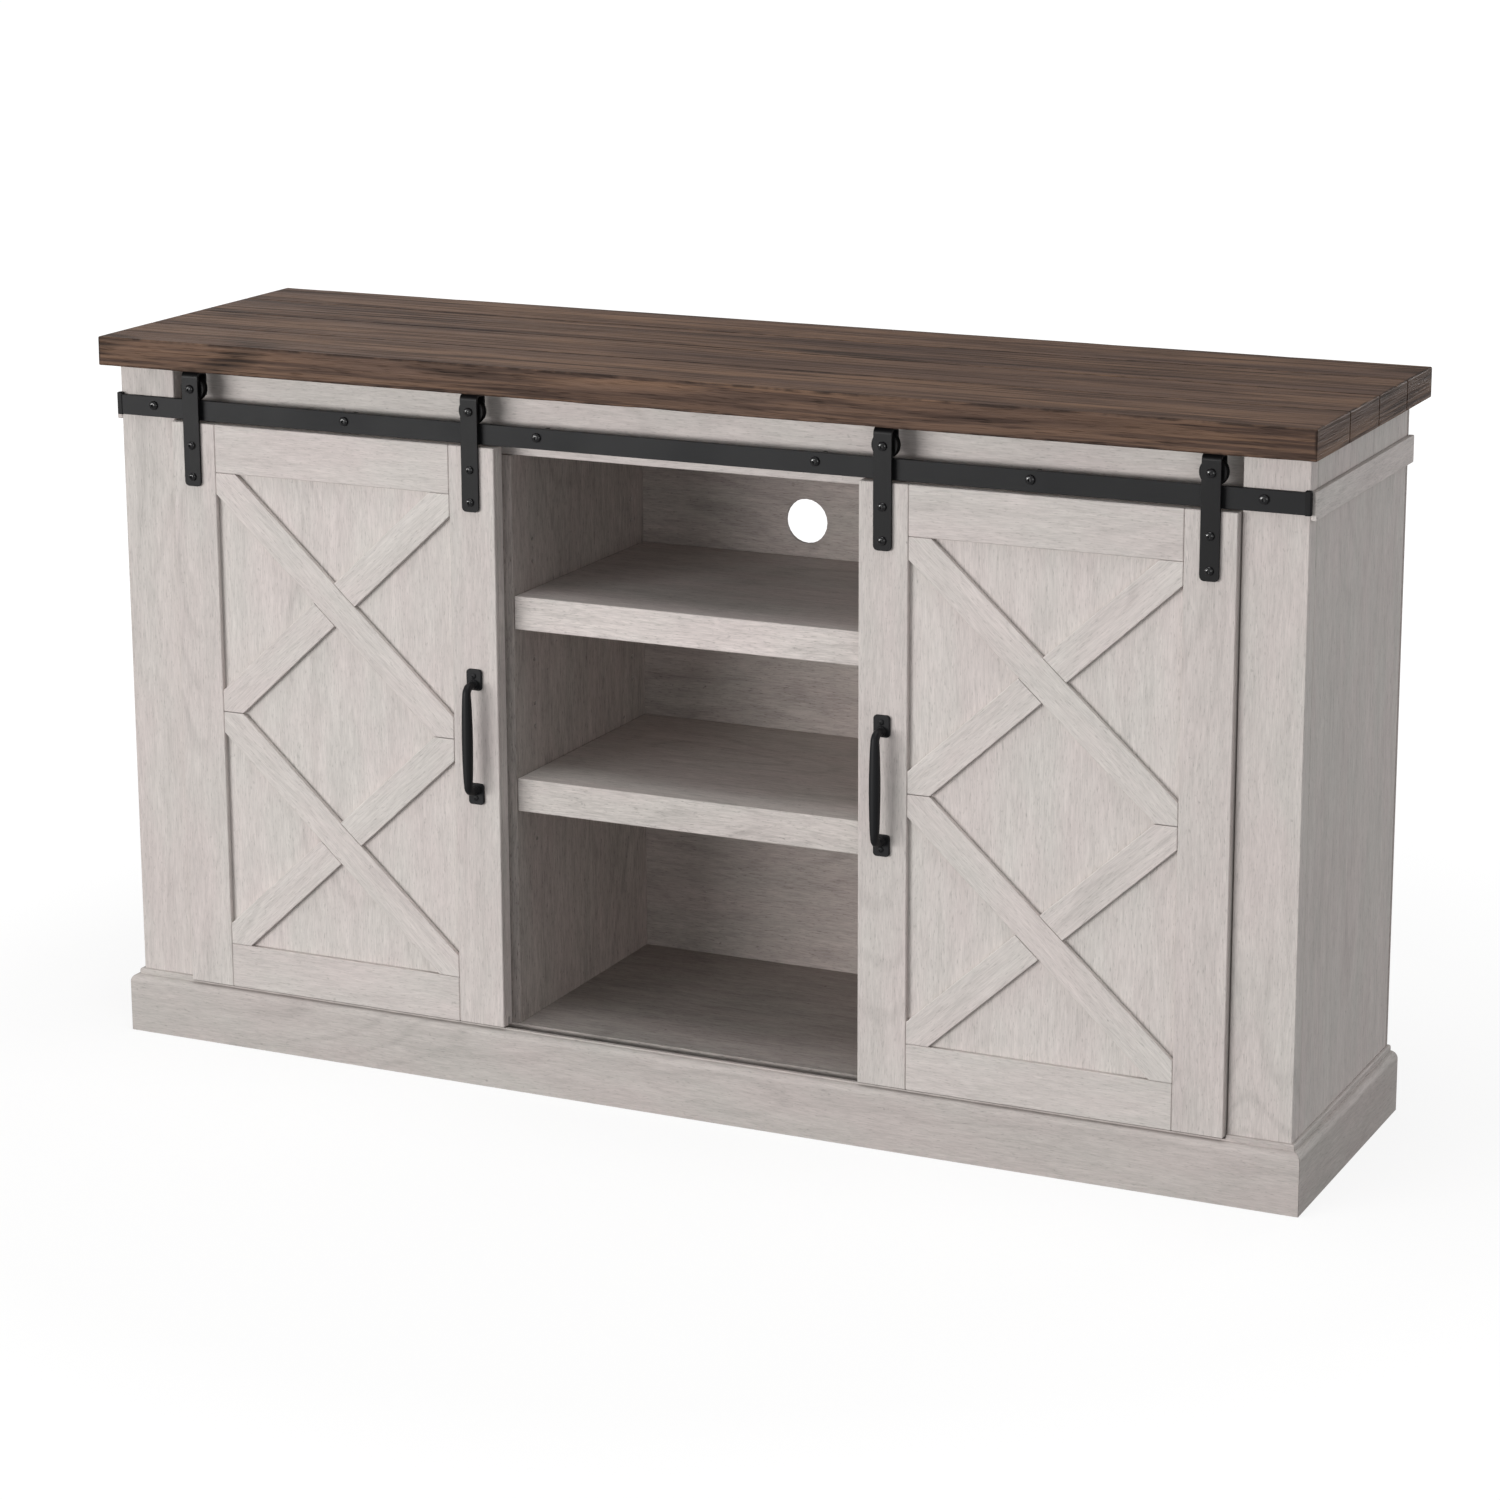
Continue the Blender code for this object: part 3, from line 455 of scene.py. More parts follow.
for side, _ in SIDES:
    for board in UPRIGHT_BOARDS:
        finish_node(f"{side}_{board}", board_wood(f"{side}_{board}", board, ALONG_Z))
for board in CENTRE_BOARDS:
    finish_node(board, board_wood(board, board, ALONG_X))
for side, _ in SIDES:
    for board in SIDE_LONG_BOARDS:
        finish_node(f"{side}_{board}", board_wood(f"{side}_{board}", board, ALONG_X))
for side, _ in SIDES:
    finish_node(f"{side}_side_band", wood(f"{side}_side_band_wood", ALONG_Y))
    finish_node(f"{side}_door_guide", NYLON)
print("boards finished:", len(wood_made))

# %% [markdown]
# ## Modelling helpers
# Every new piece starts as a bmesh, which is a mesh held in memory that the modelling operators
# change step by step. A few small helpers are used throughout: a box between two corners, a
# round-over along sharp edges, and the steps that write the finished shape as an object. The
# object stays at the origin and the place is in its vertices, as in the frame, so that a
# pattern on object coordinates stays true.

# %% Box, round-over and finished piece
WELD = 0.000002
SMOOTH_BELOW = math.radians(38)
BACKWARD = Vector((0.0, 1.0, 0.0))
FORWARD = -BACKWARD


def block(shape, low, high):
    """A box between two corners, added to a bmesh."""
    low, high = Vector(low), Vector(high)
    place = Matrix.Translation((low + high) / 2) @ Matrix.Diagonal((*(high - low), 1.0))
    return bmesh.ops.create_cube(shape, size=1.0, matrix=place)["verts"]


def span(a, b):
    """Two numbers, the smaller one first."""
    return (min(a, b), max(a, b))


def round_over(shape, width, segments=2, sharper=50.0, edges=None):
    """Rounds the edges that turn by more than an angle in degrees, or the given ones."""
    limit = math.radians(sharper)
    if edges is None:
        edges = [edge for edge in shape.edges if edge.calc_face_angle(0.0) > limit]
    bmesh.ops.bevel(shape, geom=edges, offset=width, segments=segments, profile=0.5, affect="EDGES",
                    material=-1, clamp_overlap=True)


def round_corners(shape, corners, radius, segments):
    """Rounds the corners of a flat face."""
    bmesh.ops.bevel(shape, geom=corners, offset=radius, segments=segments, profile=0.5,
                    affect="VERTICES", material=-1)


def mesh_from(name, shape):
    """A bmesh written as a mesh. The bmesh is used up."""
    mesh = bpy.data.meshes.new(name)
    shape.to_mesh(mesh)
    shape.free()
    return mesh


def put_in_scene(name, data):
    """A new object in the scene for a mesh, a light or a camera."""
    made = bpy.data.objects.new(name, data)
    bpy.context.scene.collection.objects.link(made)
    return made


def piece(name, shape, material, body, slot, *nodes, smooth=True):
    """Writes a bmesh as an object on its body, in place of the nodes it stands for."""
    bmesh.ops.remove_doubles(shape, verts=shape.verts, dist=WELD)
    bmesh.ops.recalc_face_normals(shape, faces=shape.faces)
    mesh = mesh_from(name, shape)
    made = put_in_scene(name, mesh)
    mesh.materials.append(material)
    if smooth:
        mesh.shade_smooth()
        mesh.set_sharp_from_angle(angle=SMOOTH_BELOW)
        # Wide flats keep their own shading, and the small round-overs bend to meet them.
        made.modifiers.new("flat_faces_lead", "WEIGHTED_NORMAL").keep_sharp = True
    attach(made, body)
    if nodes:
        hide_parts(*nodes)
    return made


print("round-overs are shaded smooth below", round(math.degrees(SMOOTH_BELOW)), "degrees")

# %% [markdown]
# ## The plank top
# The top looks like four long planks glued edge to edge. Their edges are eased by hand, so the
# seams wander and the front arris is nicked, which a plain box can't show. Each plank is a box
# that is divided along its length, rounded on its long edges and then nudged inwards by noise,
# never outwards: the slab keeps its size. The slab's ends wear a strip of the same brown whose
# grain runs from front to back, and its seams come for free, because the planks are separate
# pieces.

# %% Four planks instead of one slab
TOP_LOW, TOP_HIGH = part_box("top")
PLANK_SEAMS = (0.0, 0.27, 0.52, 0.77, 1.0)
SEAM_GAP = 0.0005
PLANK_DIVISIONS = 90
PLANK_ROUND = 0.0016
EDGE_WANDER = 0.0008
FRONT_WANDER = 0.0016
# The dents: cycles a metre along and up the plank, how far the noise moves on from one edge to
# the next, a finer noise over the first, and the height from which the dents set in.
WANDER_PITCH = 16.0
WANDER_PITCH_UP = 40.0
PLANK_STEP = 7.0
FRONT_STEP = 3.0
FINER = 3.1
FINER_SHARE = 0.35
DENT_FROM = 0.55
DENT_DOWN = 0.35
END_FACE = 0.9
END_BAND = wood("top_end_band", ALONG_Y, WEATHERED, bump=0.0005, tint=(0.97, 0.97, 0.97, 1.0))


def wear_plank(shape, number, middle, half_height, front_reach):
    """Dents a plank's long edges inwards, most at the arrises."""
    for vert in shape.verts:
        nearness = max(0.0, abs(vert.co.z - middle.z) / half_height - DENT_FROM) / (1.0 - DENT_FROM)
        at_front = vert.co.y < middle.y
        reach = front_reach if at_front else EDGE_WANDER
        place = Vector((vert.co.x * WANDER_PITCH, number * PLANK_STEP + (FRONT_STEP if at_front else 0.0),
                        vert.co.z * WANDER_PITCH_UP))
        rough = noise.noise(place) + FINER_SHARE * noise.noise(place * FINER)
        dent = max(0.0, rough) * reach * nearness
        vert.co.y += dent if at_front else -dent
        vert.co.z -= math.copysign(DENT_DOWN * dent, vert.co.z - middle.z)


def make_plank(number, front, back):
    """One plank, with its ends in the end band's wood."""
    shape = bmesh.new()
    low = Vector((TOP_LOW.x, front, TOP_LOW.z))
    high = Vector((TOP_HIGH.x, back, TOP_HIGH.z))
    block(shape, low, high)
    long_edges = [edge for edge in shape.edges
                  if abs(edge.verts[0].co.x - edge.verts[1].co.x) > TOP_HIGH.z - TOP_LOW.z]
    bmesh.ops.subdivide_edges(shape, edges=long_edges, cuts=PLANK_DIVISIONS, use_grid_fill=True)
    round_over(shape, PLANK_ROUND, segments=3, sharper=60.0)
    middle = (low + high) / 2
    front_reach = FRONT_WANDER if front == TOP_LOW.y else EDGE_WANDER
    wear_plank(shape, number, middle, high.z - middle.z, front_reach)
    for face in shape.faces:
        face.material_index = int(abs(face.normal.x) > END_FACE)
    material = wood(f"top_plank_{number}_wood", ALONG_X, WEATHERED, bump=0.0007, edges=(low, high))
    made = piece(f"top_plank_{number}", shape, material, "cabinet", "walnut_top", "top")
    made.data.materials.append(END_BAND)


top_depth = TOP_HIGH.y - TOP_LOW.y
for number, (start, stop) in enumerate(zip(PLANK_SEAMS, PLANK_SEAMS[1:]), 1):
    front_gap = SEAM_GAP if start > 0.0 else 0.0
    make_plank(number, TOP_LOW.y + top_depth * start + front_gap, TOP_LOW.y + top_depth * stop)
print("top planks:", len(PLANK_SEAMS) - 1, "over", round(top_depth, 4), "m")

# %% [markdown]
# ## The crossed slats
# Each door has two crosses. A joiner lays one whole slat corner to corner, and butts two half
# slats against it for the other diagonal, so each cross is three pieces and not an X cut from
# one sheet. A slat starts as a long box turned to the diagonal. Planes then trim it to the
# field between the door's stiles and rails, as a mitre saw would, and the cut ends are closed.

# %% Whole and half slats of the four crosses
SLAT_WIDTH = 0.034
SLAT_INSET = 0.007
BUTT_GAP = 0.0003
SLAT_ROUND = 0.0009


def saw(shape, point, outward):
    """Cuts a closed shape at a plane, drops what lies beyond it and closes the cut."""
    everything = [*shape.verts, *shape.edges, *shape.faces]
    bmesh.ops.bisect_plane(shape, geom=everything, dist=WELD / 2, plane_co=point, plane_no=outward,
                           clear_outer=True)
    rim = [edge for edge in shape.edges if edge.is_boundary]
    if rim:
        bmesh.ops.contextual_create(shape, geom=rim)


def make_slat(name, cross, door, angle, butt_side=0):
    """One slat at an angle, trimmed to its field and, for a half, to the whole slat."""
    low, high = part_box(cross)
    middle = (low + high) / 2
    shape = bmesh.new()
    reach = (high - low).length
    size = Matrix.Diagonal((2 * reach, high.y - low.y, SLAT_WIDTH, 1.0))
    lean = Matrix.Rotation(angle, 4, "Y")
    bmesh.ops.create_cube(shape, size=1.0, matrix=Matrix.Translation(middle) @ lean @ size)
    for corner, outward in ((low, (-1, 0, 0)), (high, (1, 0, 0)), (low, (0, 0, -1)), (high, (0, 0, 1))):
        saw(shape, corner, outward)
    if butt_side:
        # The whole slat leans the other way, and its long edge is where the half one stops.
        edge_normal = Matrix.Rotation(-angle, 3, "Y") @ Vector((0, 0, 1)) * butt_side
        saw(shape, middle + edge_normal * (SLAT_WIDTH / 2 + BUTT_GAP), -edge_normal)
    round_over(shape, SLAT_ROUND, segments=2, sharper=20.0)
    material = wood(name + "_wood", (0.0, -angle, 0.0))
    return piece(name, shape, material, door, "whitewashed_wood", cross, smooth=False)


for side, _ in SIDES:
    for level in ("upper", "lower"):
        cross, door = f"{side}_door_{level}_cross", f"{side}_door"
        low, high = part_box(cross)
        slope = math.atan2(high.z - low.z - 2 * SLAT_INSET, high.x - low.x - 2 * SLAT_INSET)
        make_slat(f"{side}_{level}_whole_slat", cross, door, slope)
        make_slat(f"{side}_{level}_high_half_slat", cross, door, -slope, butt_side=1)
        make_slat(f"{side}_{level}_low_half_slat", cross, door, -slope, butt_side=-1)
print("slats at", round(math.degrees(slope), 1), "degrees")

# %% [markdown]
# ## Cutting one shape with another
# Some cuts are easiest as a Boolean: the step in the plinth, the shelf-pin holes, the end caps
# on the rail. A Boolean is a modifier on an object, so the helper makes two short-lived objects
# from the two bmeshes, reads the result back as a bmesh, and removes them again.

# %% Carve with a cutter
def carve(shape, cutter):
    """The first bmesh less the second, as a new bmesh."""
    helpers = []
    for name, part in (("carved", shape), ("carver", cutter)):
        bmesh.ops.recalc_face_normals(part, faces=part.faces)
        helpers.append(put_in_scene(name, mesh_from(name, part)))
    body, tool = helpers
    step = body.modifiers.new("cut", "BOOLEAN")
    step.operation = "DIFFERENCE"
    step.solver = "EXACT"
    step.object = tool
    graph = bpy.context.evaluated_depsgraph_get()
    result = bmesh.new()
    result.from_mesh(body.evaluated_get(graph).to_mesh())
    for helper in helpers:
        bpy.data.meshes.remove(helper.data)
    return result


print("carving ready")

# %% [markdown]
# ## The moulded plinth
# The plinth is a skirting board: a flat face, a quarter-round above it and a small bead where
# it meets the stiles and sides. The section needs only six corners. Two of them are rounded
# with a vertex bevel while the shape is still flat, and then the section is drawn out to its
# length, as a moulding comes off a spindle moulder. The ends are sawn to a mitre.

# %% The plinth's section
PLINTH_ROUND = 0.008
OVOLO_STEPS = 8
BEAD_ROUND = 0.002
BEAD_STEPS = 4
BEAD_HEIGHT = 0.0045
BEAD_STEP = 0.0016
front_low, front_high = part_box("plinth_front")
end_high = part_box("plinth_right")[1]
PLINTH_THICK = front_high.y - front_low.y
PLINTH_TOP = end_high.z
PLINTH_SHOULDER = PLINTH_THICK - PLINTH_ROUND
OVOLO_TOP = PLINTH_TOP - BEAD_HEIGHT - BEAD_STEP


def plinth_section(shape, foot, outward):
    """The moulding's section as one flat face, with its ovolo and its bead rounded."""
    corners = [(0.0, 0.0), (PLINTH_THICK, 0.0), (PLINTH_THICK, OVOLO_TOP), (PLINTH_SHOULDER, OVOLO_TOP),
               (PLINTH_SHOULDER, PLINTH_TOP), (0.0, PLINTH_TOP)]
    verts = [shape.verts.new(foot + outward * across + Vector((0, 0, up))) for across, up in corners]
    shape.faces.new(verts)
    ovolo, bead = verts[2], verts[4]
    round_corners(shape, [ovolo], PLINTH_ROUND, OVOLO_STEPS)
    round_corners(shape, [bead], BEAD_ROUND, BEAD_STEPS)
    bmesh.ops.remove_doubles(shape, verts=shape.verts, dist=WELD)


def draw_out(shape, along):
    """Extrudes the flat section that a bmesh holds, by a vector."""
    made = bmesh.ops.extrude_face_region(shape, geom=list(shape.faces), use_keep_orig=True)
    moved = [item for item in made["geom"] if isinstance(item, bmesh.types.BMVert)]
    bmesh.ops.translate(shape, verts=moved, vec=along)
    bmesh.ops.recalc_face_normals(shape, faces=shape.faces)


print("plinth section", round(PLINTH_THICK * 1000, 1), "mm thick")

# %% [markdown]
# ## The plinth's boards
# One board runs across the front and one along each end, with mitred corners. The doors hang
# over the front board, so its bead stays only under the stiles and is cut away between them.
# The back has no plinth, because it stands at a wall.

# %% The plinth's three boards
MITRE_GAP = 0.00015
# The plinth's tint is painted shade, low down by the floor.
PLINTH_PAINTED_SHADE = (0.80, 0.795, 0.79, 1.0)
stile_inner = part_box("right_front_stile")[0].x


def plinth_piece(name, shape, turn, node):
    """A finished board of the plinth."""
    material = wood(f"{name}_plinth_wood", turn, tint=PLINTH_PAINTED_SHADE)
    return piece(f"{name}_plinth_moulding", shape, material, "cabinet", "whitewashed_wood", node)


def make_front_plinth():
    """The front board with its bead only under the stiles, so that the doors pass over it."""
    shape = bmesh.new()
    plinth_section(shape, Vector((front_low.x - PLINTH_THICK, front_high.y, front_low.z)), FORWARD)
    draw_out(shape, Vector((front_high.x - front_low.x + 2 * PLINTH_THICK, 0, 0)))
    for _, sign in SIDES:
        corner = Vector((sign * (front_high.x - MITRE_GAP), front_low.y, 0))
        saw(shape, corner, Vector((sign, 1, 0)))
    cutter = bmesh.new()
    block(cutter, (-stile_inner, front_low.y - PLINTH_THICK, PLINTH_TOP - BEAD_HEIGHT),
          (stile_inner, front_high.y + PLINTH_THICK, PLINTH_TOP + BEAD_HEIGHT))
    return plinth_piece("front", carve(shape, cutter), ALONG_X, "plinth_front")


def make_end_plinth(side, sign):
    """The board on one end, mitred to the front one."""
    shape = bmesh.new()
    foot = Vector((sign * (end_high.x - PLINTH_THICK), end_high.y, front_low.z))
    plinth_section(shape, foot, Vector((sign, 0, 0)))
    draw_out(shape, Vector((0, front_low.y - end_high.y - PLINTH_THICK, 0)))
    corner = Vector((sign * end_high.x, front_low.y + MITRE_GAP, 0))
    saw(shape, corner, Vector((-sign, -1, 0)))
    return plinth_piece(side, shape, ALONG_Y, f"plinth_{side}")


make_front_plinth()
for side, sign in SIDES:
    make_end_plinth(side, sign)
print("plinth", round(PLINTH_TOP * 1000, 1), "mm high at the ends")

# %% [markdown]
# ## Dividers with shelf-pin holes
# The two dividers carry the adjustable shelves on steel pins, and the factory drills spare holes
# above and below each shelf. The holes are what makes a plain board read as cabinet work. Each
# divider is a copy of its node, welded and then drilled with one cutter that holds all the
# holes.

# %% Drill the dividers
PIN_RADIUS = 0.0025
PIN_DEPTH = 0.009
PIN_STEPS = 16
PIN_PLACES = (-0.105, 0.126)
# The rows of spare holes, as heights from the underside of the shelf.
PIN_ROWS = {"upper_shelf": (-0.042, 0.066, 0.090), "lower_shelf": (-0.042, 0.084, 0.109)}
LOOSE_WELD = 0.00002
across_x = Matrix.Rotation(math.pi / 2, 4, "Y")


def copy_of(node):
    """A bmesh copy of a node, with its loose triangles welded and its flats made whole."""
    shape = bmesh.new()
    shape.from_mesh(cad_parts[node].data)
    bmesh.ops.remove_doubles(shape, verts=shape.verts, dist=LOOSE_WELD)
    bmesh.ops.dissolve_limit(shape, angle_limit=math.radians(1), verts=shape.verts, edges=shape.edges)
    return shape


def add_hole(cutter, x, y, z):
    """A round bar along X that drills one hole."""
    bmesh.ops.create_cone(cutter, cap_ends=True, segments=PIN_STEPS, radius1=PIN_RADIUS, radius2=PIN_RADIUS,
                          depth=PIN_DEPTH * 2, matrix=Matrix.Translation((x, y, z)) @ across_x)


def make_divider(side, sign):
    """A divider with its holes on the side of the middle bay."""
    node = f"{side}_divider"
    low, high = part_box(node)
    wall = high.x if sign < 0 else low.x
    cutter = bmesh.new()
    for shelf, rows in PIN_ROWS.items():
        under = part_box(shelf)[0].z
        for y in PIN_PLACES:
            for row in rows:
                add_hole(cutter, wall, y, under + row)
    piece(f"{side}_drilled_divider", carve(copy_of(node), cutter), board_wood(node, "divider", ALONG_Z),
          "cabinet", "whitewashed_wood", node, smooth=False)


for side, sign in SIDES:
    make_divider(side, sign)
print("pin holes a divider:", len(PIN_PLACES) * sum(len(rows) for rows in PIN_ROWS.values()))

# %% [markdown]
# ## Turned hardware
# Bolts, wheels, axles, spacers and shelf pins are all turned on a lathe, so they are all one
# operation here: a profile of radius and distance along the axis, spun through a full turn.
# The profile of a bolt's head has a rim, a dome worked out as a quarter of an ellipse, and a
# socket sunk in its crown.

# %% Turn a profile, and the profile of a socket-head bolt
TURN_STEPS = 40
SMALL_STEPS = 24
HEAD_STEPS = 9
SIDEWAYS = Vector((1.0, 0.0, 0.0))
UPWARD = Vector((0.0, 0.0, 1.0))


def turn_solid(shape, profile, centre, axis=FORWARD, start=SIDEWAYS, closed=False, steps=TURN_STEPS):
    """Spins a line of (radius, along) points about an axis into a solid."""
    line = [shape.verts.new(centre + start * radius + axis * along) for radius, along in profile]
    pairs = list(zip(line, line[1:]))
    if closed:
        pairs.append((line[-1], line[0]))
    edges = [shape.edges.new(pair) for pair in pairs]
    bmesh.ops.spin(shape, geom=[*line, *edges], cent=centre, axis=axis, angle=math.tau, steps=steps,
                   use_merge=True)
    bmesh.ops.remove_doubles(shape, verts=shape.verts, dist=WELD)


def socket_head(radius, height, seat=0.0, rim=0.3, socket=0.36, depth=0.55):
    """A domed head from its seat to the floor of its socket. The shares are of its own size."""
    edge = height * rim
    mouth = radius * socket
    reach = math.acos(socket)
    dome = []
    for step in range(HEAD_STEPS + 1):
        angle = reach * step / HEAD_STEPS
        dome.append((radius * math.cos(angle), seat + edge + (height - edge) * math.sin(angle)))
    crown = dome[-1][1]
    return [(radius, seat), *dome, (mouth, crown - height * depth), (0.0, crown - height * depth)]


print("a turned solid has", TURN_STEPS, "steps")

# %% [markdown]
# ## The rail
# The rail is a flat steel bar, and the doors' wheels run on its top edge. Each end wears a thin
# cap that stands a little above the bar, so that a wheel can't run off. The bar is a copy of its
# node with its long edges eased. A cap is a rounded block with the bar's shape carved out of it.

# %% The bar and its end caps
RAIL_LOW, RAIL_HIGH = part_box("barn_rail")
RAIL_ROUND = 0.0005
CAP_LENGTH = 0.0062
CAP_WALL = 0.0006
CAP_LIP = 0.0021
CAP_ROUND = 0.0014
TOUCH = 0.0002
FULL_EDGE = 0.9
FOLDED = 1.0


def make_rail():
    """The bar, with the edges along it and at its ends eased and its bolt holes left sharp."""
    rail = copy_of("barn_rail")
    tall = RAIL_HIGH.z - RAIL_LOW.z
    bar_edges = [edge for edge in rail.edges
                 if edge.calc_length() > tall * FULL_EDGE and edge.calc_face_angle(0.0) > FOLDED]
    round_over(rail, RAIL_ROUND, segments=2, edges=bar_edges)
    piece("rail_bar", rail, POWDER_COAT, "cabinet", "black_metal", "barn_rail", smooth=False)


def make_rail_cap(side, sign):
    """A cap that fits over one end of the bar."""
    end = sign * RAIL_HIGH.x
    cap = bmesh.new()
    reach = span(end - sign * CAP_LENGTH, end + sign * CAP_WALL)
    block(cap, (reach[0], RAIL_LOW.y - CAP_WALL, RAIL_LOW.z - CAP_WALL),
          (reach[1], RAIL_HIGH.y, RAIL_HIGH.z + CAP_LIP))
    round_over(cap, CAP_ROUND, segments=4)
    bar = bmesh.new()
    inside = span(end - sign * 2 * CAP_LENGTH, end + sign * TOUCH)
    block(bar, (inside[0], RAIL_LOW.y - TOUCH, RAIL_LOW.z - TOUCH),
          (inside[1], RAIL_HIGH.y + CAP_WALL, RAIL_HIGH.z + TOUCH))
    piece(f"{side}_rail_end_cap", carve(cap, bar), NYLON, "cabinet", "black_plastic")


make_rail()
for side, sign in SIDES:
    make_rail_cap(side, sign)
print("rail", round(RAIL_HIGH.x - RAIL_LOW.x, 4), "m long")

# %% [markdown]
# ## The rail's bolts and spacers
# Six button-head bolts hold the bar: two go straight into the stiles and four through spacers
# into the board behind. A spacer is a short tube, whose profile is a closed line.

# %% Bolts and spacers
RAIL_BOLT_HEAD = 0.0050
BOLT_HEAD_HEIGHT = 0.0030
SHANK_SHARE = 0.3
SPACER_EASE = 0.0006


def make_rail_bolt(side, spot):
    """A button-head bolt that bears on the bar. It gives its shank's radius."""
    node = f"{side}_{spot}_rail_bolt"
    low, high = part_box(node)
    centre = (low + high) / 2
    seat = RAIL_LOW.y - TOUCH
    shank = (high.x - low.x) * SHANK_SHARE
    shape = bmesh.new()
    profile = [(0.0, seat - high.y), (shank, seat - high.y), (shank, 0.0),
               *socket_head(RAIL_BOLT_HEAD, BOLT_HEAD_HEIGHT)]
    turn_solid(shape, profile, Vector((centre.x, seat, centre.z)))
    piece(f"{side}_{spot}_rail_button_bolt", shape, BOLT_BLACK, "cabinet", "black_metal", node)
    return shank


def make_rail_spacer(side, spot, shank):
    """A tube round the bolt's shank, between the bar and the board behind it."""
    node = f"{side}_{spot}_rail_spacer"
    low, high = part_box(node)
    outer = (high.x - low.x) / 2
    half = (high.y - low.y) / 2
    bore = shank + 2 * TOUCH
    shape = bmesh.new()
    tube = [(bore, -half), (outer - SPACER_EASE, -half), (outer, SPACER_EASE - half),
            (outer, half - SPACER_EASE), (outer - SPACER_EASE, half), (bore, half)]
    turn_solid(shape, tube, (low + high) / 2, closed=True)
    piece(f"{side}_{spot}_standoff", shape, POWDER_COAT, "cabinet", "black_metal", node)


BOLTS = [(side, spot) for side, _ in SIDES for spot in ("end", "middle", "centre")]
for side, spot in BOLTS:
    shank = make_rail_bolt(side, spot)
    if spot != "end":
        make_rail_spacer(side, spot, shank)
print("rail bolts:", len(BOLTS))

# %% [markdown]
# ## Hangers
# A hanger is a steel strap, bent over its wheel like a walking stick and bolted flat to the
# door. Its section is drawn as one flat face whose four bends are vertex bevels, so the inner
# and the outer radius differ by the strap's own thickness. It is drawn out to the strap's
# width, and the two corners at its foot are clipped round.

# %% The bent straps
STRAP_THICK = 0.003
STRAP_BEND = 0.0035
STRAP_CORNER = 0.005
STRAP_EASE = 0.0004
BACK_LEG = 0.0085
BEND_STEPS = 7
HANGERS = [(side, place) for side, _ in SIDES for place in ("outer", "inner")]


def hanger_section(low, high, axle_z):
    """The strap's section as corners in Y and Z, with the bends still square."""
    front, back = low.y, high.y
    top, under = high.z, high.z - STRAP_THICK
    foot, back_foot = low.z, axle_z - BACK_LEG
    return [(front, foot), (front, top), (back, top), (back, back_foot), (back - STRAP_THICK, back_foot),
            (back - STRAP_THICK, under), (front + STRAP_THICK, under), (front + STRAP_THICK, foot)]


def make_strap(side, place):
    """One bent strap with a rounded foot. It gives its box and its axle's height."""
    node = f"{side}_door_{place}_hanger"
    low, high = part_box(node)
    axle_low, axle_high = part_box(f"{side}_door_{place}_axle")
    axle_z = (axle_low.z + axle_high.z) / 2
    shape = bmesh.new()
    verts = [shape.verts.new((low.x, y, z)) for y, z in hanger_section(low, high, axle_z)]
    shape.faces.new(verts)
    round_corners(shape, [verts[1], verts[2]], STRAP_BEND + STRAP_THICK, BEND_STEPS)
    round_corners(shape, [verts[5], verts[6]], STRAP_BEND, BEND_STEPS)
    draw_out(shape, Vector((high.x - low.x, 0, 0)))
    foot_corners = [edge for edge in shape.edges
                    if all(vert.co.z < low.z + STRAP_EASE for vert in edge.verts)
                    and abs(edge.verts[0].co.x - edge.verts[1].co.x) < WELD]
    round_over(shape, STRAP_CORNER, segments=6, edges=foot_corners)
    round_over(shape, STRAP_EASE, segments=2, sharper=60.0)
    piece(f"{side}_{place}_strap", shape, STRAP_BLACK, f"{side}_door", "black_metal", node)
    return low, high, axle_z


print("hangers:", HANGERS)

# %% [markdown]
# ## The hangers' bolts
# The axle runs between the strap's legs, with a button head in front and a nut behind. Two
# smaller bolts hold the strap to the door. They all use the rail bolts' head. Each hanger is
# then made whole, one after the other.

# %% Axle bolts, strap bolts and the four whole hangers
AXLE_HEAD = 0.0047
AXLE_THREAD = 0.003
NUT_RADIUS = 0.0050
NUT_HEIGHT = 0.003
STRAP_BOLT_HEAD = 0.0045
STRAP_BOLT_DROPS = (0.080, 0.1145)


def make_axle_bolt(side, place, low, axle_z):
    """The axle between the strap's legs, with its button head in front and its nut behind."""
    node = f"{side}_door_{place}_axle"
    axle_low, axle_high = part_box(node)
    x = (axle_low.x + axle_high.x) / 2
    seat = low.y - TOUCH
    back = seat - axle_high.y
    shape = bmesh.new()
    profile = [(0.0, back), (NUT_RADIUS, back), (NUT_RADIUS, back + NUT_HEIGHT),
               (AXLE_THREAD, back + NUT_HEIGHT), (AXLE_THREAD, 0.0),
               *socket_head(AXLE_HEAD, BOLT_HEAD_HEIGHT)]
    turn_solid(shape, profile, Vector((x, seat, axle_z)))
    piece(f"{side}_{place}_axle_bolt", shape, BOLT_BLACK, f"{side}_door", "black_metal", node)


def make_strap_bolts(side, place, low, high):
    """The heads of the two bolts that hold a strap to the door."""
    shape = bmesh.new()
    for drop in STRAP_BOLT_DROPS:
        centre = Vector(((low.x + high.x) / 2, low.y - TOUCH, high.z - drop))
        turn_solid(shape, [(0.0, 0.0), *socket_head(STRAP_BOLT_HEAD, BOLT_HEAD_HEIGHT)], centre)
    piece(f"{side}_{place}_strap_bolts", shape, BOLT_BLACK, f"{side}_door", "black_metal")


for side, place in HANGERS:
    strap_low, strap_high, axle_z = make_strap(side, place)
    make_axle_bolt(side, place, strap_low, axle_z)
    make_strap_bolts(side, place, strap_low, strap_high)
print("straps", round((strap_high.z - strap_low.z) * 1000, 1), "mm long")

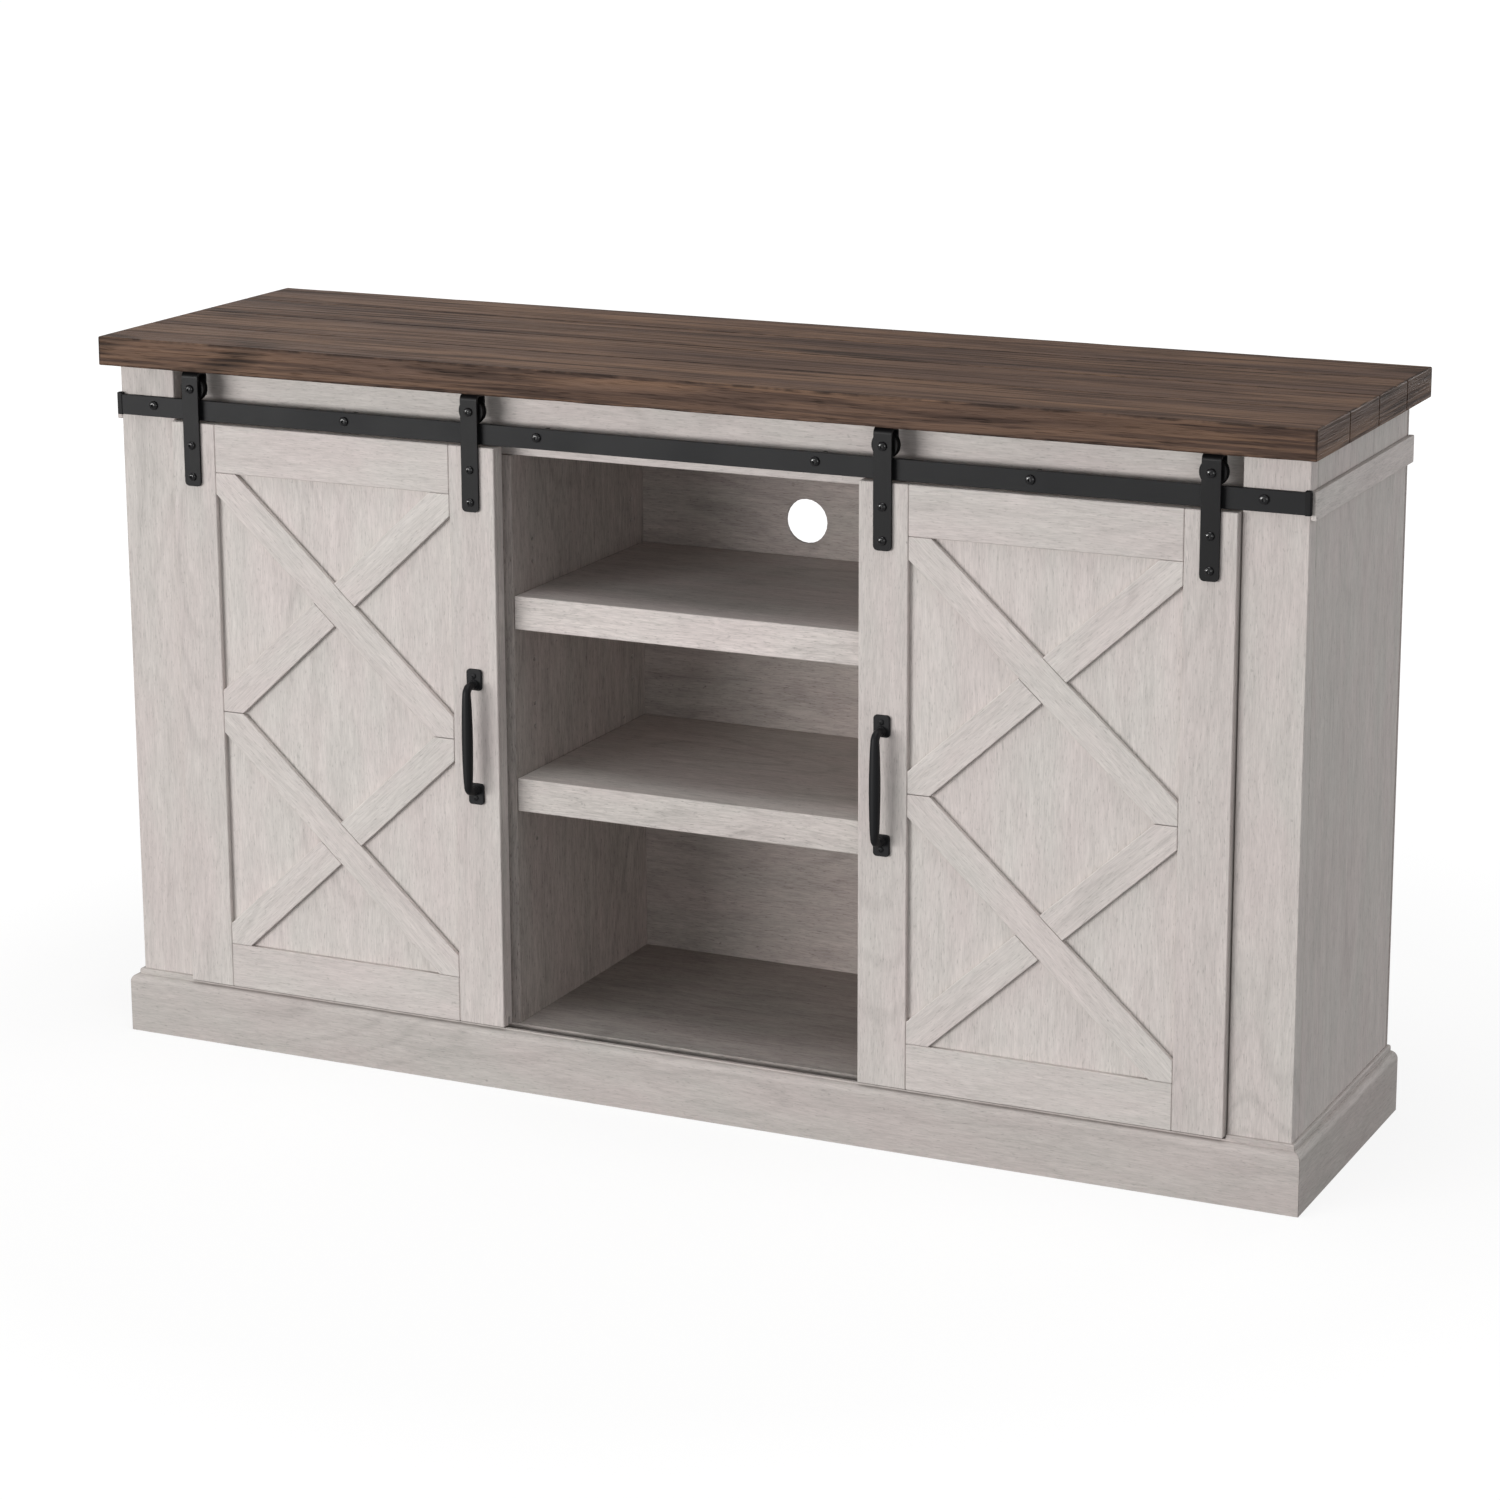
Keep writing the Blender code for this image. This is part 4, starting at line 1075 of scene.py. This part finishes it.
# %% [markdown]
# ## Wheels
# Each wheel is a grooved roller that straddles the rail. Nylon wheels are moulded with a web
# between hub and rim to save material, and every edge carries a small radius so that the part
# leaves its mould. The profile is turned with square corners, and the corners are rounded
# afterwards all at once.

# %% The grooved wheels
WHEEL_STEPS = 56
WHEEL_ROUND = 0.00035
WEB_RECESS = 0.0014
RIM_WALL = 0.0024
HUB_RADIUS = 0.0058
BORE_RADIUS = 0.00325
ROLL_RADIUS = 0.0127
GROOVE_PLAY = 0.0003
GROOVE_HALF = (RAIL_HIGH.y - RAIL_LOW.y) / 2 + GROOVE_PLAY


def make_wheel(side, place):
    """A grooved wheel on its own body, so that it turns. It gives its outer radius."""
    node = f"{side}_door_{place}_wheel"
    low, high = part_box(node)
    outer = (high.x - low.x) / 2
    half = (high.y - low.y) / 2
    web = half - WEB_RECESS
    rim = ROLL_RADIUS - RIM_WALL
    one_side = [(HUB_RADIUS, half), (HUB_RADIUS, web), (rim, web), (rim, half), (outer, half),
                (outer, GROOVE_HALF), (ROLL_RADIUS, GROOVE_HALF)]
    other_side = [(radius, -along) for radius, along in reversed(one_side)]
    profile = [*one_side, *other_side, (BORE_RADIUS, -half), (BORE_RADIUS, half)]
    shape = bmesh.new()
    turn_solid(shape, profile, (low + high) / 2, closed=True, steps=WHEEL_STEPS)
    round_over(shape, WHEEL_ROUND, segments=2, sharper=60.0)
    piece(f"{side}_{place}_grooved_wheel", shape, NYLON, f"{side}_{place}_wheel", "black_plastic", node)
    return outer


for side, place in HANGERS:
    wheel_radius = make_wheel(side, place)
print("wheels", round(wheel_radius * 2000, 1), "mm across")

# %% [markdown]
# ## The handles' grips
# The handles are cast pulls. A spindle grip, thin at its ends and full in the middle, bends
# back at each end into a boss on a small plate. A grip whose thickness changes all along can't
# be a plain tube, so it is swept: one ring of vertices is extruded from station to station, and
# at each it is moved, turned and scaled. The stations follow a straight run with a
# quarter-circle at each end.

# %% Sweep a ring along the grip's path
GRIP_STEPS = 20
GRIP_BEND = 0.0085
BEND_RINGS = 7
GRIP_RINGS = 22
GRIP_NECK = 0.0041
GRIP_FULL = 0.0060
THROAT_GROWTH = 0.12
SWELL_POWER = 0.7


def sweep(shape, stations):
    """Extrudes a ring through stations of (centre, heading, radius), and caps both ends."""
    frames = []
    for centre, heading, radius in stations:
        # One axis of every ring stays along X, so the rings never twist against each other.
        turn = Matrix((SIDEWAYS, heading.cross(SIDEWAYS), heading)).transposed().to_4x4()
        frames.append(Matrix.Translation(centre) @ turn @ Matrix.Scale(radius, 4))
    ring = bmesh.ops.create_circle(shape, cap_ends=False, segments=GRIP_STEPS, radius=1.0,
                                   matrix=frames[0])["verts"]
    edges = [edge for edge in shape.edges if all(vert in ring for vert in edge.verts)]
    bmesh.ops.contextual_create(shape, geom=edges)
    for before, after in zip(frames, frames[1:]):
        made = bmesh.ops.extrude_edge_only(shape, edges=edges)["geom"]
        ring = [item for item in made if isinstance(item, bmesh.types.BMVert)]
        edges = [item for item in made if isinstance(item, bmesh.types.BMEdge)]
        bmesh.ops.transform(shape, matrix=after @ before.inverted(), verts=ring)
    bmesh.ops.contextual_create(shape, geom=edges)


def bend_station(x, grip_y, height, inward, leaving, angle):
    """A station on a quarter-circle. The angle is 0 at the boss and a right angle at the grip."""
    centre = Vector((x, grip_y + GRIP_BEND * (1 - math.sin(angle)),
                     height + inward * GRIP_BEND * (1 - math.cos(angle))))
    heading = leaving * math.cos(angle) - UPWARD * math.sin(angle)
    return centre, heading, GRIP_NECK * (1 + THROAT_GROWTH * math.sin(angle))


def grip_stations(x, plate_front, grip_y, upper, lower):
    """The grip's path from the upper boss to the lower one, and its radius along the way."""
    halfway = (plate_front + grip_y + GRIP_BEND) / 2
    bend_angles = [math.pi / 2 * step / BEND_RINGS for step in range(BEND_RINGS + 1)]
    stations = [(Vector((x, plate_front, upper)), FORWARD, GRIP_NECK),
                (Vector((x, halfway, upper)), FORWARD, GRIP_NECK)]
    stations += [bend_station(x, grip_y, upper, -1, FORWARD, angle) for angle in bend_angles]
    top, bottom = upper - GRIP_BEND, lower + GRIP_BEND
    throat = GRIP_NECK * (1 + THROAT_GROWTH)
    for step in range(1, GRIP_RINGS):
        share = step / GRIP_RINGS
        swell = math.sin(math.pi * share) ** SWELL_POWER
        centre = Vector((x, grip_y, top + (bottom - top) * share))
        stations.append((centre, -UPWARD, throat + (GRIP_FULL - throat) * swell))
    stations += [bend_station(x, grip_y, lower, 1, BACKWARD, angle) for angle in reversed(bend_angles)]
    stations.append((Vector((x, plate_front, lower)), BACKWARD, GRIP_NECK))
    return stations


print("grip rings:", 2 * BEND_RINGS + GRIP_RINGS + 4)

# %% [markdown]
# ## The handles' plates
# Each end of a pull stands on a small cast plate with round corners, and one screw holds each
# plate. The plate is a block with two rounds of bevels, and the boss and the screw's head are
# turned. They are added to the grip's own mesh, so each pull is one piece.

# %% Plates, bosses and screws, and the whole pull
BOSS_RADIUS = 0.0056
BOSS_HEIGHT = 0.0030
BOSS_TAPER = ((0.97, 0.5), (0.86, 0.85))
BOSS_FROM_END = 0.0162
PLATE_WIDTH = 0.018
PLATE_HEIGHT = 0.023
PLATE_THICK = 0.003
PLATE_CORNER = 0.0038
PLATE_EASE = 0.0009
SCREW_HEAD = 0.0031
SCREW_HEIGHT = 0.0016
SCREW_FROM_END = 0.0072


def make_plate(shape, x, back, outer_z, inward):
    """A plate with its boss and its screw. Inward is +1 when the grip lies above the plate."""
    plate = bmesh.new()
    face = back - PLATE_THICK
    ends = span(outer_z, outer_z + inward * PLATE_HEIGHT)
    block(plate, (x - PLATE_WIDTH / 2, face, ends[0]), (x + PLATE_WIDTH / 2, back, ends[1]))
    corners = [edge for edge in plate.edges if abs(edge.verts[0].co.y - edge.verts[1].co.y) > WELD]
    round_over(plate, PLATE_CORNER, segments=6, edges=corners)
    front = [edge for edge in plate.edges if all(vert.co.y < face + WELD for vert in edge.verts)]
    round_over(plate, PLATE_EASE, segments=3, edges=front)
    loose = mesh_from("plate", plate)
    shape.from_mesh(loose)
    bpy.data.meshes.remove(loose)
    boss = Vector((x, face, outer_z + inward * BOSS_FROM_END))
    taper = [(BOSS_RADIUS * width, BOSS_HEIGHT * height) for width, height in BOSS_TAPER]
    collar = [(0.0, -TOUCH), (BOSS_RADIUS, -TOUCH), *taper, (GRIP_NECK, BOSS_HEIGHT), (0.0, BOSS_HEIGHT)]
    turn_solid(shape, collar, boss, steps=SMALL_STEPS)
    screw = Vector((x, face, outer_z + inward * SCREW_FROM_END))
    head = socket_head(SCREW_HEAD, SCREW_HEIGHT, seat=-TOUCH)
    turn_solid(shape, [(0.0, -TOUCH), *head], screw, steps=SMALL_STEPS)


def make_handle(side):
    """A whole pull on its door. It gives its length."""
    node = f"{side}_door_handle"
    low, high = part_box(node)
    x = (low.x + high.x) / 2
    shape = bmesh.new()
    sweep(shape, grip_stations(x, high.y - PLATE_THICK, low.y + GRIP_FULL,
                               high.z - BOSS_FROM_END, low.z + BOSS_FROM_END))
    make_plate(shape, x, high.y, high.z, -1)
    make_plate(shape, x, high.y, low.z, 1)
    piece(f"{side}_door_pull", shape, POWDER_COAT, f"{side}_door", "black_metal", node)
    return high.z - low.z


for side, _ in SIDES:
    pull_length = make_handle(side)
print("pulls", round(pull_length * 1000, 1), "mm long")

# %% [markdown]
# ## Shelf pins
# Steel pins in the dividers and sides carry every shelf. Each is a peg with a collar, and it
# sits just under the shelf at the front and at the back. They are turned about X.

# %% Pins under the four shelves
PIN_COLLAR = 0.0038
COLLAR_DEPTH = 0.0014
PIN_NOSE = 0.0085
PIN_EASE = 0.0005


def add_pin(shape, wall_x, inward, y, z):
    """A peg whose collar bears on a wall and whose nose carries the shelf."""
    profile = [(0.0, TOUCH), (PIN_COLLAR, TOUCH), (PIN_COLLAR, COLLAR_DEPTH), (PIN_RADIUS, COLLAR_DEPTH),
               (PIN_RADIUS, PIN_NOSE - PIN_EASE), (PIN_RADIUS - PIN_EASE, PIN_NOSE), (0.0, PIN_NOSE)]
    turn_solid(shape, profile, Vector((wall_x, y, z)), axis=SIDEWAYS * inward, start=UPWARD,
               steps=PIN_STEPS)


divider_low, divider_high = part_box("right_divider")
panel_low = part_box("right_side_panel")[0]
# The wall on the right of each shelf, and the wall on its left.
pin_walls = {
    "upper_shelf": (divider_low.x, -divider_low.x), "lower_shelf": (divider_low.x, -divider_low.x),
    "right_bay_shelf": (panel_low.x, divider_high.x), "left_bay_shelf": (-divider_high.x, -panel_low.x),
}
for shelf, (right_wall, left_wall) in pin_walls.items():
    shape = bmesh.new()
    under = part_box(shelf)[0].z - PIN_COLLAR - TOUCH
    for y in PIN_PLACES:
        add_pin(shape, right_wall, -1, y, under)
        add_pin(shape, left_wall, 1, y, under)
    piece(f"{shelf}_pins", shape, PIN_STEEL, "cabinet", "black_metal")
print("shelf pins:", 2 * len(PIN_PLACES) * len(pin_walls))

# %% [markdown]
# ## The floor
# The stand is shown on white, as in a catalogue. The floor is a wide sheet of grey paper that
# glows only where the camera sees it, so that it looks white with a faint soft shadow, while the
# stand itself gets only a moderate bounce from it.

# %% Floor
FLOOR_SIZE = 30.0
FLOOR_DROP = 0.0004
PAPER_GREY = (0.20, 0.20, 0.20, 1.0)
PAPER_ROUGH = 0.9
WHITE = (1.0, 1.0, 1.0, 1.0)
# The paper's glow close to the stand and further off, the distances between which it rises, and
# the small glow that lights the stand as well.
NEAR_GLOW, FAR_GLOW = 0.76, 0.91
GLOW_FROM, GLOW_TO = 0.9, 2.2
BOUNCE_GLOW = 0.07

shape = bmesh.new()
bmesh.ops.create_grid(shape, x_segments=1, y_segments=1, size=FLOOR_SIZE / 2,
                      matrix=Matrix.Translation((0, 0, -FLOOR_DROP)))
floor = put_in_scene("studio_floor", mesh_from("studio_floor", shape))
paper, tree, shader = new_material("white_paper")
shader.inputs["Base Color"].default_value = PAPER_GREY
shader.inputs["Roughness"].default_value = PAPER_ROUGH
shader.inputs["Specular IOR Level"].default_value = 0.0
shader.inputs["Emission Color"].default_value = WHITE
place = add(tree, "TexCoord").outputs["Object"]
distance = add(tree, "VectorMath", {0: place}, operation="LENGTH").outputs["Value"]
white = remap(tree, distance, GLOW_FROM, GLOW_TO, NEAR_GLOW, FAR_GLOW)
seen = add(tree, "LightPath").outputs["Is Camera Ray"]
glow = maths(tree, "MULTIPLY_ADD", seen, white, BOUNCE_GLOW)
tree.links.new(glow, shader.inputs["Emission Strength"])
floor.data.materials.append(paper)
print("floor", FLOOR_SIZE, "m wide")

# %% [markdown]
# ## The light
# The light is plain and soft. One long, low light stands in front and to the left, and makes the
# fronts the brightest faces. Weaker ones fill in the front from the right, the right side, the
# top and the back, and a last one gives the far left edge a little glow. An even sky lifts the
# open bays, and looks brighter to the camera than it is to the stand.

# %% Sky and lights
SKY_LIGHT = 0.32
SKY_SEEN = 0.67
world = bpy.data.worlds.new("even_sky")
bpy.context.scene.world = world
world.use_nodes = True
sky = world.node_tree
background = sky.nodes["Background"]
seen = add(sky, "LightPath").outputs["Is Camera Ray"]
background.inputs["Color"].default_value = WHITE
sky.links.new(maths(sky, "MULTIPLY_ADD", seen, SKY_SEEN, SKY_LIGHT), background.inputs["Strength"])


def area_light(name, place, aim, size, power, colour=(1.0, 1.0, 1.0)):
    """A soft oval light at a place, turned to an aim. The camera doesn't see it."""
    light = bpy.data.lights.new(name, "AREA")
    light.shape = "ELLIPSE"
    light.size, light.size_y = size
    light.energy = power
    light.color = colour
    lamp = put_in_scene(name, light)
    lamp.location = place
    lamp.visible_camera = False
    lamp.rotation_euler = (Vector(aim) - Vector(place)).to_track_quat("-Z", "Y").to_euler()
    return lamp


lamps = [
    area_light("key", place=(-6.4, -10.1, 1.3), aim=(0.0, 0.0, 0.4), size=(9.0, 2.8), power=1030.0,
               colour=(1.0, 0.99, 0.98)),
    area_light("front_fill", place=(4.5, -6.5, 0.7), aim=(0.0, 0.0, 0.5), size=(3.5, 2.0), power=64.0),
    area_light("side_fill", place=(6.0, 0.8, 0.6), aim=(0.0, 0.1, 0.4), size=(3.0, 1.4), power=37.0),
    area_light("top_fill", place=(0.2, -0.6, 5.0), aim=(0.0, 0.0, 0.8), size=(3.0, 3.0), power=96.0),
    area_light("rear_fill", place=(3.5, 8.5, 1.6), aim=(0.0, 0.2, 0.4), size=(3.0, 2.4), power=170.0),
    area_light("back_glow", place=(-5.0, 6.5, 1.8), aim=(-0.4, 0.0, 0.8), size=(2.6, 2.0), power=16.0),
]
bpy.context.scene.view_settings.view_transform = "Standard"
print("lights:", [lamp.name for lamp in lamps])

# %% [markdown]
# ## The camera
# The view is from the front right and a little above, with a long lens. The lens is shifted
# slightly, as an architect's camera is, to keep the uprights nearly parallel.

# %% Camera
AZIMUTH = math.radians(25.424)
ELEVATION = math.radians(13.583)
ROLL = math.radians(-0.262)
CAMERA_PLACE = (1.7939, -3.7891, 1.4836)
LENS_MM = 96.52
SENSOR_MM = 36.0
SHIFT_X = 0.0067
SHIFT_Y = -0.0667

view_back = Vector((math.sin(AZIMUTH) * math.cos(ELEVATION), -math.cos(AZIMUTH) * math.cos(ELEVATION),
                    math.sin(ELEVATION)))
level_right = UPWARD.cross(view_back).normalized()
level_up = view_back.cross(level_right)
view_right = level_right * math.cos(ROLL) + level_up * math.sin(ROLL)
view_up = level_up * math.cos(ROLL) - level_right * math.sin(ROLL)
lens = bpy.data.cameras.new("studio_camera")
lens.lens = LENS_MM
lens.sensor_width = SENSOR_MM
lens.shift_x = SHIFT_X
lens.shift_y = SHIFT_Y
camera = put_in_scene("studio_camera", lens)
turn = Matrix((view_right, view_up, view_back)).transposed().to_4x4()
camera.matrix_world = Matrix.Translation(CAMERA_PLACE) @ turn
bpy.context.scene.camera = camera
print("lens", LENS_MM, "mm,", round(math.degrees(AZIMUTH), 1), "degrees round to the right")

# %% [markdown]
# ## The last update
# The visual model has to fill the same box as the engineering model. The view layer is updated once more.

# %% The last update
bpy.context.view_layer.update()
